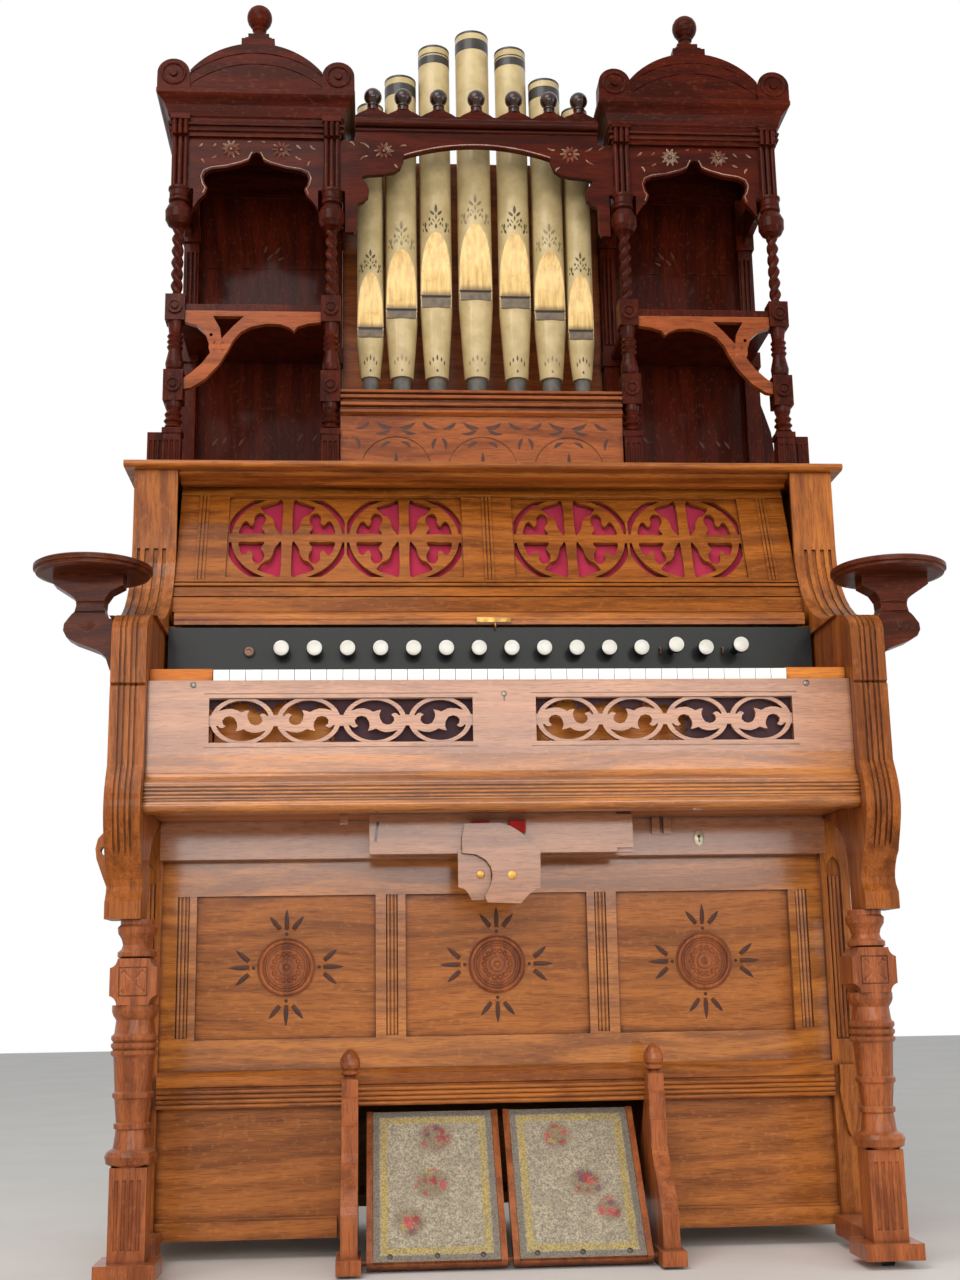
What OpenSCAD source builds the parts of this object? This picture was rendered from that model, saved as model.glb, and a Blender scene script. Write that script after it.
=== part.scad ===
// Parlour reed organ with a high top of seven display pipes between two canopied towers.
// X runs across the keyboard, Y from the player to the wall and Z up from the floor.

/* [Case] */
// Depth from the fronts of the cheeks to the back boards
depth = 600; // [560:5:640]
// Width of the front frame between the two cheeks
case_w = 1026; // [1006:2:1046]
// Distance of the front frame behind the fronts of the cheeks
frame_set = 240; // [225:5:255]
// Height of the upper face of the case top
top_z = 1234; // [1224:2:1260]
// Width of the case top board
top_w = 1188; // [1168:2:1210]
// Width of each cheek
cheek_w = 50; // [42:1:56]

/* [Keyboard] */
// Height of the upper faces of the natural keys
key_z = 841; // [835:1:845]
// Width of the whole keyboard
keyboard_w = 842; // [820:1:846]
// Number of natural keys
natural_count = 36; // [29, 36]
// Place of the lowest natural in the scale, counted from C
lowest_natural = 3; // [0, 3]

/* [Stops] */
// Height of the row of draw stops
stop_z = 902; // [900:1:905]
// Radius of a draw stop's face
stop_r = 13; // [10:0.5:15]
// Distance between two draw stops
stop_pitch = 51; // [46:0.5:51]
// Travel of a draw stop
stop_travel = 25; // [20:1:30]

/* [Pedals] */
// Width of one pedal
pedal_w = 197; // [185:1:198]
// Height of a pedal's upper edge
pedal_top = 206; // [196:1:207]
// Distance of the pedals' hinges behind the fronts of the cheeks
pedal_y = 106; // [100:2:116]

/* [Towers] */
// Distance of a tower's middle from the middle of the organ
tower_x = 398; // [396:1:400]
// Distance between the axes of a tower's two front columns
column_gap = 270; // [264:2:272]
// Distance of the front columns behind the fronts of the cheeks
column_y = 365; // [360:1:375]
// Height of the shelf in each tower
shelf_z = 1559; // [1550:1:1566]
// Height of the underside of the cornice
cornice_z = 1886; // [1880:1:1892]

/* [Pipes] */
// Radius of the middle pipe
pipe_r = 31.5; // [28:0.5:33]
// Height of the middle pipe's upper edge
pipe_top = 2166; // [2140:2:2170]
// Height of the board on which the pipes stand
rack_z = 1401; // [1395:1:1406]

/* [Hidden] */

// How far the scrolled cheeks reach in front of their own upper fronts
front_reach = 20;
mid_y = (depth - front_reach) / 2;
half_case = case_w / 2;
side_x = half_case + 23;
side_t = 22;
back_y = depth - 14;
bed_z = 640;
frame_z0 = 270;
frame_z1 = 582;
frame_t = 22;
// The three panels of the front frame as inner and outer edges on one side
panel_x = [187, half_case - 53];
reed_x = [162, half_case - 33];
middle_panel = 141;
panel_z0 = 315;
panel_z1 = 529;
// Height of the lower edges of the boards that nearly reach the floor
base_z = 29;
key_pitch = keyboard_w / natural_count;
natural_t = 16.5;
// Naturals after which a sharp follows, counted from C
sharp_after = [0, 1, 3, 4, 5];
// Lean of the music desk and the lower front edge of its face
desk_lean = 21;
desk_y = 226;
desk_z = 972;
desk_h = 266;
pedal_angle = 50;
pedal_pin_z = 14;
pedal_pin_r = 4;
pedal_half_t = 7;
pedal_rim = 6;
pedal_len = (pedal_top - pedal_pin_z - (pedal_half_t + pedal_rim) * cos(pedal_angle)) / sin(pedal_angle);
// Gap left where one fixed piece is seated on another
seat = 0.3;
roof_half = 150;
pedal_gap = 8;
board_t = 12;
inner_x = tower_x - column_gap / 2;
outer_x = tower_x + column_gap / 2;
// Radii, tops and mouth heights of the pipes from the middle outwards
pipe_x = [0, 73, 137, 194];
pipe_radii = [pipe_r, pipe_r - 2, pipe_r - 2, pipe_r - 7];
pipe_tops = [pipe_top, pipe_top - 31, pipe_top - 96, pipe_top - 153];
mouth_z = [1644, 1633, 1606, 1569];
mouth_h = [121, 115, 107, 99];
lip_z = [1614, 1599, 1577, 1541];
pipe_y = 475;
// Half the width left between the flared cornices of the two towers
centre_half = tower_x - roof_half - 27 - seat;

$fn = 48;

// Puts a shape drawn from the fronts of the cheeks into the organ's own frame.
module from_front() {
    translate([0, -mid_y, 0]) children();
}

// The same shape on the left and the right.
module both_sides() {
    children();
    mirror([1, 0, 0]) children();
}

// A box between two values along each axis.
module block(x, y, z) {
    translate([x[0], y[0], z[0]]) cube([x[1] - x[0], y[1] - y[0], z[1] - z[0]]);
}

// A flat shape drawn in X and Z, from y0 to y1.
module along_y(y0, y1) {
    translate([0, y1, 0]) rotate([90, 0, 0]) linear_extrude(y1 - y0) children();
}

// A profile drawn in Y and Z, from x0 to x1.
module along_x(x0, x1) {
    translate([x0, 0, 0]) rotate([90, 0, 90]) linear_extrude(x1 - x0) children();
}

// Points of a smooth closed line through the given points, n for each stretch.
function smooth(p, n) = [
    for (i = [0 : len(p) - 1], j = [0 : n - 1])
        let (
            t = j / n,
            a = p[(i + len(p) - 1) % len(p)],
            b = p[i],
            c = p[(i + 1) % len(p)],
            d = p[(i + 2) % len(p)]
        )
        b + ((c - a) * t + (2 * a - 5 * b + 4 * c - d) * t * t + (3 * b - a - 3 * c + d) * t * t * t) / 2
];

// Points of an oval from one angle to another.
function oval(rx, rz, from, to, n) = [
    for (i = [0 : n]) let (a = from + (to - from) * i / n) [rx * cos(a), rz * sin(a)]
];

// A turned piece, given as heights and radii from the bottom up.
module turned(x, y, profile) {
    n = len(profile) - 1;
    translate([x, y, 0]) rotate_extrude() polygon(concat(
        [[0, profile[0][0]]],
        [for (p = profile) [p[1], p[0]]],
        [[0, profile[n][0]]]
    ));
}

// Upright half-round reeds on a face, the face being at y.
module reeds_up(x, y, z0, z1, count, pitch) {
    for (i = [0 : count - 1])
        translate([x + (i - (count - 1) / 2) * pitch, y, z0]) cylinder(r = pitch * 0.46, h = z1 - z0);
}

// One carver's gouge cut, deep at the start and running out along +Y, the face being at z = 0.
module gouge(length, width) {
    depth_cut = 1.6;
    r = (width * width / 4 + depth_cut * depth_cut) / (2 * depth_cut);
    translate([0, 0, r - depth_cut]) rotate([-atan2(length, depth_cut), 0, 0]) cylinder(r = r, h = length);
}

module case_sides() {
    color("peru") from_front() both_sides()
        block([side_x, side_x + side_t], [frame_set + frame_t, depth], [base_z, top_z - board_t]);
}

module case_back() {
    color("tan") from_front()
        block([-side_x, side_x], [back_y, depth - 2], [60, top_z - board_t]);
}

module case_floor() {
    color("tan") from_front() difference() {
        block([-side_x, side_x], [frame_set + 32, back_y], [42, 60]);
        block([-257 - seat, 257 + seat], [0, 480], [30, 80]);
    }
}

// The frame of the lower front with its reeded stiles and three openings.
module front_frame() {
    face = frame_set;
    z = [panel_z0 + 3, panel_z1];
    groove = 9;
    color("peru") from_front() {
        difference() {
            block([-half_case, half_case], [face, face + frame_t], [frame_z0, frame_z1]);
            block([-middle_panel, middle_panel], [face - 1, face + frame_t + 1], [panel_z0, panel_z1]);
            both_sides() block(panel_x, [face - 1, face + frame_t + 1], [panel_z0, panel_z1]);
            both_sides() for (x = reed_x) block([x - groove, x + groove], [face - 1, face + 4], z);
        }
        both_sides() for (x = reed_x) reeds_up(x, face + 4.5, z[0], z[1], 3, 6);
    }
}

module rosette_places() {
    side = (panel_x[0] + panel_x[1]) / 2;
    for (x = [-side, 0, side]) translate([x, frame_set + 10, 421]) rotate([90, 0, 0]) children();
}

module front_panels() {
    y0 = frame_set + 10;
    color("peru") from_front() difference() {
        union() {
            block([-middle_panel, middle_panel], [y0, y0 + 10], [panel_z0, panel_z1]);
            both_sides() block(panel_x, [y0, y0 + 10], [panel_z0, panel_z1]);
        }
        rosette_places() for (a = [0 : 90 : 270]) rotate([0, 0, a]) {
            translate([0, 56, 0]) gouge(32, 9);
            for (s = [-1, 1]) translate([s * 9.5, 57, 0]) rotate([0, 0, -s * 40]) gouge(26, 9);
        }
    }
}

// Turned rings with fourteen petals round a button, one on each front panel.
module front_rosettes() {
    color("peru") from_front() rosette_places() intersection() {
        cylinder(r = 46, h = 12);
        rosette();
    }
}

module rosette() {
    union() {
        cylinder(r = 44, h = 2);
        rotate_extrude() translate([39, 2]) circle(r = 4, $fn = 20);
        rotate_extrude() translate([30, 2]) circle(r = 2, $fn = 16);
        for (i = [1 : 14]) rotate([0, 0, i * 360 / 14]) translate([20, 0, 0]) sphere(r = 4.3, $fn = 24);
        cylinder(r = 11, h = 5);
        sphere(r = 7.5, $fn = 24);
    }
}

// The moulded rail between the front frame and the base.
module lower_moulding() {
    f = frame_set;
    top = frame_z0;
    bottom = 216;
    reed = 3.5;
    color("peru") from_front() along_x(-half_case, half_case) {
        polygon([
            [f + frame_t, top], [f - 3, top], [f - 9, top - 6], [f - 12, top - 8], [f - 12, top - 22],
            [f - 9, top - 24], [f - 9, bottom], [f + frame_t, bottom]
        ]);
        for (i = [0 : 3]) translate([f - 9, bottom + reed + 2 * reed * i]) circle(r = reed, $fn = 24);
    }
}

// The two panelled blocks of the base on both sides of the pedals.
module base_panels() {
    f = frame_set + 10;
    z = [base_z, 216];
    color("peru") from_front() both_sides() {
        block([245, half_case], [f, f + 20], z);
        block([245, half_case], [f - 8, f + 20], [base_z, base_z + 26]);
        block([245, half_case], [f - 4, f], [base_z + 26, base_z + 30]);
        block([post_x + 6, 245], [f, f + 20], z);
    }
}

// Inner walls of the recess into which the pedals swing.
module pedal_well() {
    f = frame_set + 30;
    color("saddlebrown") from_front() both_sides() block([245, 257], [f, 480], [base_z, 216]);
}

// Narrow reeded uprights at the outer ends of the lower front.
module leg_strips() {
    x = half_case + 20;
    face = frame_set - 6;
    color("peru") from_front() both_sides() {
        difference() {
            block([half_case, side_x + side_t], [face, frame_set + frame_t], [base_z, bed_z]);
            block([x - 11, x + 11], [face - 1, face + 4], [300, 560]);
            translate([x, 0, 560]) along_y(face - 1, face + 4) intersection() {
                translate([-11, 0]) circle(r = 22);
                translate([11, 0]) circle(r = 22);
            }
        }
        reeds_up(x, face + 4.5, 302, 548, 3, 6.5);
        along_y(face - 10, face) polygon([
            [x - 12, 262], [x + 14, 262], [x + 14, 236], [x + 17, 226], [x + 14, 196], [x + 6, 166], [x, 156],
            [x - 4, 166], [x - 10, 196], [x - 14, 226], [x - 12, 236]
        ]);
    }
}

// The recessed board under the key bed.
module knee_board() {
    face = 110;
    half_w = 196;
    color("peru") from_front() {
        block([-half_case, half_case], [frame_set - 40, frame_set - 26], [frame_z1, bed_z]);
        block([-half_case, half_case], [frame_set - 26, frame_set + frame_t], [frame_z1, frame_z1 + 12]);
        difference() {
            block([-half_w, half_w], [face, face + 18], [frame_z1 - 2, bed_z]);
            translate([-185, face - 1, 616]) rotate([0, 8, 0]) block([-2, 2], [0, 8], [-18, 12]);
            for (z = [frame_z1 - 2, bed_z - 4]) block([half_w - 24, half_w + 1], [face - 1, face + 6], [z, z + 6]);
        }
        for (x = [-33, 22]) block([x - 13, x + 13], [face - 8, face], [608, 627]);
        along_y(face - 6, face) polygon([
            [-66, 585], [-66, 530], [-58, 528], [-52, 522], [-46, 511], [-18, 511], [-18, 585]
        ]);
        for (x = [246, 264]) block([x - 6, x + 6], [frame_set - 46, frame_set - 40], [614, bed_z]);
        block([-239, -227], [104, 114], [624, bed_z]);
    }
}

// The knee lever, a plate that hangs from a pin in the board under the key bed.
module knee_lever() {
    color("peru") from_front() {
        along_y(92, 96) difference() {
            polygon([
                [-60, 604], [-56, 622], [-4, 623], [12, 618], [26, 609], [43, 594], [55, 581], [54, 527], [46, 524],
                [38, 519], [30, 511], [25, 505], [-24, 507], [-28, 516], [-20, 530], [-16, 545], [-18, 558],
                [-26, 569], [-40, 577], [-60, 579]
            ]);
            translate([13, 546]) circle(r = 4);
        }
        translate([-5, 109.6, 600]) rotate([90, 0, 0]) cylinder(r = 6, h = 18);
    }
}

module key_bed() {
    color("peru") from_front()
        block([-half_case, half_case], [40, back_y], [bed_z, bed_z + 24]);
}

// The reeded moulding under the key slip.
module front_moulding() {
    reed_z = [654, 659.5, 665, 670.5];
    color("peru") from_front() along_x(-half_case, half_case) {
        difference() {
            polygon([
                [40, 716], [20, 716], [20, 692], [8, 675], [8, 650], [14, 641], [14, 633], [40, 633]
            ]);
            translate([6, 692]) circle(r = 14);
        }
        for (z = reed_z) translate([8, z]) circle(r = 2.5, $fn = 20);
        translate([13, 642]) circle(r = 9);
    }
}

slip_open_x = [46, half_case - 88];
slip_open_z = [733, 798];

// The board in front of the keys with its two pierced panels.
module key_slip() {
    screw_x = half_case - 65;
    top = key_z - natural_t - 0.5;
    color("peru") from_front() difference() {
        block([-half_case, half_case], [20, 38], [716, top]);
        both_sides() block(slip_open_x, [19, 39], slip_open_z);
        both_sides() translate([screw_x, 22, top - 7]) rotate([90, 0, 0]) cylinder(r = 4.5, h = 8);
        translate([0, 22, 803]) rotate([90, 0, 0]) cylinder(r = 4, h = 8);
        block([-1.5, 1.5], [19, 22], [792, 803]);
        for (z = [slip_open_z[0] - 7, slip_open_z[1] + 6])
            both_sides() block([slip_open_x[0] - 7, slip_open_x[1] + 7], [19, 21], [z - 0.8, z + 0.8]);
    }
}

// Four linked rings with scrolled bars in each opening of the key slip.
module slip_fret() {
    w = slip_open_x[1] - slip_open_x[0];
    h = slip_open_z[1] - slip_open_z[0];
    count = 4;
    pitch = w / count;
    translate([slip_open_x[0], slip_open_z[0]]) intersection() {
        square([w, h]);
        union() {
            for (i = [0 : count - 1]) translate([pitch * (i + 0.5), h / 2]) mirror([(i + 1) % 2, 0]) slip_oval();
            for (i = [0 : count]) translate([pitch * i - 5, h / 2 - 8]) square([10, 16]);
            for (z = [-1, h - 1]) translate([0, z]) square([w, 2]);
        }
    }
}

// One oval of the key slip with its lying S scroll.
module slip_oval() {
    upper = [
        [-35, 7], [-32, 10], [-28, 10.5], [-24, 8], [-27.6, 4.5], [-28.5, -0.6], [-24.5, -5.2], [-18.6, -6.8],
        [-12, -4.5], [-8, 2], [-7, 8.5], [-9.5, 15.5], [-3, 14], [2, 12.2], [7.7, 15.4], [15.4, 17.6],
        [24, 17], [31, 15]
    ];
    difference() {
        polygon(oval(46, 34.5, 0, 351, 39));
        for (turn = [0, 180]) rotate(turn) polygon(concat(upper, oval(38.5, 29.5, 30, 166, 14)));
    }
}

module slip_frets() {
    color("rosybrown") from_front() both_sides() along_y(24, 32) slip_fret();
}

module slip_cloth() {
    color("indigo") from_front() both_sides()
        block([slip_open_x[0] - 8, slip_open_x[1] + 8], [38, 40], [slip_open_z[0] - 8, slip_open_z[1] + 8]);
}

// Rails under the keys, the end blocks beside them and the runners under the fallboard.
module key_frame() {
    x = keyboard_w / 2;
    color("peru") from_front() {
        block([-x, x], [60, 90], [bed_z + 24, key_z - natural_t - seat]);
        block([-x, x], [260, 290], [bed_z + 24, key_z - natural_t - seat]);
        both_sides() block([x + 2, half_case], [40 + seat, 188], [bed_z + 24, key_z + 4]);
        both_sides() block([half_case - 23, half_case - 5], [202, 430], [936, 946 - seat]);
    }
}

function is_sharp(i) =
    len([for (s = sharp_after) if (s == (i + lowest_natural) % 7) 1]) > 0 && i < natural_count - 1;

sharp_y = 76;
module sharp_places() {
    for (i = [0 : natural_count - 1]) if (is_sharp(i))
        translate([-keyboard_w / 2 + (i + 1) * key_pitch, 0, 0]) children();
}

module naturals() {
    color("ivory") from_front() difference() {
        for (i = [0 : natural_count - 1])
            translate([-keyboard_w / 2 + i * key_pitch + 0.5, 27, key_z - natural_t]) cube([key_pitch - 1, 290, natural_t]);
        sharp_places() block([-7, 7], [sharp_y - 1, 400], [key_z - 40, key_z + 1]);
    }
}

module sharps() {
    color("black") from_front() sharp_places() along_x(-5, 5)
        polygon([
            [sharp_y, key_z - natural_t], [sharp_y, key_z], [sharp_y + 6, key_z + 12], [300, key_z + 12], [300, key_z - natural_t]
        ]);
}

// Places of the draw stops; the sixteenth place on the left holds an empty bush.
function knob_x(i) = (i - 6.5) * stop_pitch;

module stop_board() {
    face = 190;
    back = 202;
    color("black") from_front() {
        difference() {
            block([-half_case + 5, half_case - 5], [face, back], [872, 941]);
            for (i = [0 : 14]) translate([knob_x(i), back + 1, stop_z]) rotate([90, 0, 0]) cylinder(r = 5.5, h = 14);
            translate([knob_x(-1), back + 1, stop_z]) rotate([90, 0, 0]) cylinder(r = 6, h = 14);
        }
        translate([knob_x(-1), face + 3, stop_z]) rotate([90, 0, 0]) difference() {
            cylinder(r = 9, h = 7);
            translate([0, 0, -1]) cylinder(r = 6, h = 9);
        }
    }
}

// One draw stop on its stem, drawn out where pulled is above zero.
module stop_knob(i, pulled = 0) {
    stem = stop_travel + 65;
    color("whitesmoke") from_front() translate([knob_x(i), 184 - pulled, stop_z]) rotate([90, 0, 0])
        rotate_extrude() polygon([
            [0, -stem], [5, -stem], [5, 0], [9, 2], [7.5, 5], [6, 10], [8, 15], [stop_r - 1, 17],
            [stop_r, 18.5], [stop_r, 23], [stop_r - 1.5, 24.5], [0, 25.5]
        ]);
}

// The sliding board that comes out over the keys, with its rounded nose.
module fallboard() {
    x = half_case - 13;
    color("peru") from_front() {
        block([-x, x], [200, 430], [946, 960]);
        along_x(-x, x) {
            translate([200, 957]) circle(r = 11);
            polygon([[190, 946], [214, 946], [214, 960], [200, 968], [190, 960]]);
        }
        block([-28, 28], [188.5, 192], [948, 958]);
    }
}

// The profile of a cheek from its scrolled lower front to the case, its reeded front set back by inset.
module cheek_profile(inset) {
    steps = 14;
    polygon(concat(
        [[frame_set - 6, 640], [frame_set - 6, 930], [60, 930]],
        [for (q = [[34, 924], [20, 918], [8, 909], [0, 897], [0, 818], [4, 815], [0, 812], [0, 700]]) [q[0] + inset, q[1]]],
        [for (i = [1 : steps]) [inset - front_reach * sin(180 * i / steps), 700 - 120 * i / steps]],
        [[7, 571], [15, 560], [22, 551], [27, 541], [29, 532], [27, 523], [21, 515], [17, 511], [17, 487]],
        [[86, 487], [86, 518], [90, 560]],
        [for (i = [1 : steps]) [90 + 144 * (1 - cos(90 * i / steps)), 560 + 76 * sin(90 * i / steps)]]
    ));
}

module cheeks() {
    x0 = half_case + seat;
    x1 = x0 + cheek_w;
    mid = cheek_w / 2;
    groove = 2.5;
    color("peru") from_front() both_sides() {
        along_x(x0, x1) cheek_profile(groove);
        for (reed = [[-mid, -13], [-10, -6], [-3, 3], [6, 10], [13, mid]])
            along_x(x0 + mid + reed[0], x0 + mid + reed[1]) cheek_profile(0);
        along_y(70, 86) difference() {
            polygon([
                [x1 - 1, 613], [x1 + 14, 611], [x1 + 21, 603], [x1 + 24, 589], [x1 + 22, 574], [x1 + 13, 550],
                [x1 + 5, 530], [x1 - 1, 519]
            ]);
            translate([x1 + 11, 586]) circle(r = 6);
        }
    }
}

// The profile of the shoulder that sweeps forward from the case top to the cheek.
module console_profile(inset) {
    steps = 10;
    polygon(concat(
        [[frame_set + frame_t, 930], [frame_set + frame_t, top_z - board_t], [255, top_z - board_t], [255, 1088]],
        [for (i = [0 : steps]) [255 + inset - 195 * (1 - cos(90 * i / steps)), 1088 - 158 * sin(90 * i / steps)]]
    ));
}

module consoles() {
    x0 = half_case - 5;
    x1 = half_case + 65;
    rib = 7;
    stile = 16;
    color("peru") from_front() both_sides() {
        along_x(x0, x1) console_profile(4);
        along_x(x0, x0 + stile) console_profile(0);
        along_x(x1 - 8, x1) console_profile(0);
        for (x = [x0 + stile + 6 : 2 * rib : x1 - 16]) along_x(x, x + rib) console_profile(0);
    }
}

leg_x = half_case + 8;
leg_y = 52;
module legs() {
    half = 32;
    top = 433;
    bottom = 370;
    color("peru") from_front() both_sides() {
        turned(leg_x, leg_y, [
            [430, 20], [436, 27], [442, 27], [446, 22], [452, 20], [460, 22], [468, 27], [476, 28], [480, 24],
            [487, 24]
        ]);
        difference() {
            block([leg_x - half, leg_x + half], [leg_y - half, leg_y + half], [bottom, top]);
            for (sx = [-1, 1], sz = [bottom, top]) translate([leg_x + sx * (half + 3), leg_y - 40, sz]) rotate([-90, 0, 0])
                cylinder(r = 13, h = 80);
            translate([leg_x, leg_y - half, (bottom + top) / 2]) {
                for (a = [0 : 90 : 270]) rotate([0, a, 0]) block([-20, 20], [-1, 1.5], [18, 20]);
                for (a = [45 : 90 : 315]) rotate([0, a, 0]) translate([0, 0, 21]) rotate([90, 180, 0]) gouge(17, 8);
            }
        }
        turned(leg_x, leg_y, [
            [156, 26], [160, 34], [170, 36], [176, 33], [180, 25], [204, 22], [206, 25], [212, 25], [214, 22],
            [244, 25], [247, 28], [252, 28], [255, 25], [300, 28], [304, 32], [308, 32], [310, 29], [314, 32],
            [318, 32], [320, 29], [324, 32], [328, 32], [332, 28], [350, 26], [356, 30], [362, 32], [bottom, 32]
        ]);
    }
}

// Fluted plinth, foot plate and the sled that runs back to the case.
module leg_feet() {
    color("peru") from_front() both_sides() difference() {
        union() {
            block([leg_x - 25, leg_x + 25], [leg_y - 25, leg_y + 25], [34, 156]);
            block([leg_x - 41, leg_x + 41], [leg_y - 40, leg_y + 40], [12, 34]);
            block([leg_x - 20, leg_x + 30], [leg_y + 40, frame_set - 6], [16, 44]);
        }
        for (x = [-15, -5, 5, 15]) translate([leg_x + x, leg_y - 26, 50]) cylinder(r = 3, h = 90);
        block([leg_x - 12, leg_x + 12], [leg_y - 20, leg_y + 20], [0, 30]);
    }
}

caster_places = [[leg_x, leg_y, 30 - seat], [leg_x, depth - 60, 42]];
module casters() {
    color("dimgray") from_front() both_sides() for (c = caster_places) {
        translate([c[0] - 7, c[1], 14]) rotate([0, 90, 0]) cylinder(r = 14, h = 14);
        translate([c[0] - 10, c[1], 14]) rotate([0, 90, 0]) cylinder(r = 3, h = 20);
        for (s = [-1, 1]) block([c[0] + s * 9 - 1.5, c[0] + s * 9 + 1.5], [c[1] - 6, c[1] + 6], [10, c[2]]);
        if (c[2] > 40) block([c[0] - 14, c[0] + 14], [c[1] - 16, c[1] + 16], [38, c[2]]);
    }
}

lamp_r = 88;
lamp_x = half_case + 97;
lamp_y = 98;
// Round lamp shelves on scrolled brackets outside the shoulders.
module lamp_stands() {
    out = half_case + cheek_w + 2 * seat;
    mid = lamp_x + 17;
    half_t = 18;
    color("peru") from_front() both_sides() {
        turned(lamp_x, lamp_y, [
            [998, 76], [1000, 84], [1004, 84], [1006, lamp_r], [1012, lamp_r], [1014, lamp_r - 3]
        ]);
        difference() {
            along_y(lamp_y - half_t, lamp_y + half_t) polygon(concat(
                [[out - 1, 998], [mid + 39, 998], [mid + 39, 984]],
                [[mid + 13, 967], [mid + 5, 960], [mid + 3, 950], [mid + 5, 942], [mid + 13, 932], [mid + 20, 922],
                 [mid + 21, 912], [mid + 16, 902], [mid + 4, 895], [mid - 12, 889], [mid - 30, 882], [mid - 42, 872],
                 [mid - 49, 852], [out, 838], [out, 930]],
                [[mid - 46, 930], [mid - 40, 938], [mid - 37, 948], [mid - 38, 960], [mid - 46, 972], [out - 1, 982]]
            ));
            for (a = [-60 : 30 : 60]) translate([mid - 14, lamp_y - half_t, 914]) rotate([0, a, 0])
                translate([0, 0, -4]) rotate([90, 0, 0]) gouge(20, 7);
            for (z = [940, 955]) translate([mid - 60, lamp_y - half_t, z]) rotate([0, 90, 0]) cylinder(r = 2, h = 90);
        }
    }
}

module case_top() {
    front = 243;
    under = top_z - board_t;
    x = half_case - 6;
    color("peru") from_front() {
        block([-top_w / 2, top_w / 2], [front, depth], [under, top_z]);
        along_x(-top_w / 2, top_w / 2) translate([front, top_z - 6]) circle(r = 6);
        along_x(-x, x) polygon([
            [front + 17, under + 1], [front + 17, under - 4], [front + 22, under - 7], [front + 32, under - 8],
            [front + 42, under - 10], [front + 48, under - 14], [front + 60, under - 14], [front + 60, under + 1]
        ]);
    }
}

// Places a shape drawn on the face of the leaning music desk: x across, y up the slope.
module on_desk(front, back) {
    translate([0, desk_y, desk_z]) rotate([90 - desk_lean, 0, 0]) translate([0, 0, -back])
        linear_extrude(back - front) children();
}

desk_open_x = [42, half_case - 85];
desk_open_v = [72, 237];
module music_desk() {
    x = half_case - 5 - seat;
    color("peru") from_front() {
        difference() {
            on_desk(0, 16) translate([-x, 0]) square([2 * x, desk_h]);
            both_sides() on_desk(-1, 17) translate([desk_open_x[0], desk_open_v[0]])
                square([desk_open_x[1] - desk_open_x[0], desk_open_v[1] - desk_open_v[0]]);
        }
        for (r = [[0, 28, 6], [31, 6, 5], [38, 13, 2], [52, 5, 5], [61, 4, 3], [238, 4, 3], [260, 5, 4]])
            on_desk(-r[2], 0) translate([-x, r[0]]) square([2 * x, r[1]]);
        for (s = [-469, 0, 469], i = [-1, 0, 1]) on_desk(-2, 0) translate([s + i * 6 - 2, 66]) square([4, 172]);
    }
}

// Two rings with crossed bars and scrolls in each opening of the music desk.
module desk_fret() {
    w = desk_open_x[1] - desk_open_x[0];
    h = desk_open_v[1] - desk_open_v[0];
    translate([desk_open_x[0], desk_open_v[0]]) difference() {
        square([w, h]);
        for (x = [w / 4, 3 * w / 4], s = [0, 1], t = [0, 1])
            translate([x, h / 2]) mirror([s, 0]) mirror([0, t]) desk_quarter(w / 4, h / 2);
    }
}

// The openings in one quarter of a ring of the desk: inner slot, leaf eye and outer crescent.
module desk_quarter(w, h) {
    k = (h - 6) / 81;
    slot = [[9, 11], [15, 14], [20, 23], [22, 35], [28, 47], [36, 51], [44, 63], [45, 69], [34, 75], [20, 80], [9, 81]];
    eye = [
        [37, 9], [58, 9], [78, 9], [77, 22], [73, 34], [67, 37], [60, 27], [55, 34], [55, 46], [49, 55],
        [40, 53], [36, 43], [37, 33], [42, 22]
    ];
    polygon(smooth([for (q = slot) [q[0], q[1] * k]], 3));
    polygon(smooth([for (q = eye) [q[0], q[1] * k]], 3));
    intersection() {
        difference() {
            translate([6, 6]) polygon(oval(93, h + 5, 0, 355, 71));
            polygon(oval(91, h + 3, 0, 355, 71));
        }
        translate([9, 9]) square([w - 11, h - 12]);
    }
}

module desk_frets() {
    color("peru") from_front() both_sides() on_desk(4, 12) desk_fret();
}

module desk_cloth() {
    color("crimson") from_front() both_sides() on_desk(16, 18) translate([desk_open_x[0] - 8, desk_open_v[0] - 8])
        square([desk_open_x[1] - desk_open_x[0] + 16, desk_open_v[1] - desk_open_v[0] + 16]);
}

post_x = 225;
// Posts on both sides of the pedals with turned finials, and the rod on which the pedals hinge.
module pedal_posts() {
    half_w = 12;
    rear = frame_set + 10;
    finial_y = 176;
    color("peru") from_front() both_sides() {
        along_x(post_x - half_w, post_x + half_w) polygon([
            [80, 20], [80, 72], [88, 80], [94, 90], [112, 112], [132, 132], [144, 144], [150, 156], [150, 192],
            [156, 196], [156, 230], [162, 236], [162, 258], [190, 258], [190, 236], [rear, 150], [rear, 20]
        ]);
        block([post_x - 17, post_x + 18], [64, 150], [4, 24]);
        translate([0, pedal_y, pedal_pin_z]) rotate([0, 90, 0]) cylinder(r = pedal_pin_r, h = post_x);
        turned(post_x, finial_y, [
            [258, 11], [262, 8], [265, 13], [268, 14], [271, 11], [274, 14], [279, 15], [287, 14], [294, 10],
            [299, 5], [301, 1]
        ]);
    }
}

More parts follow.
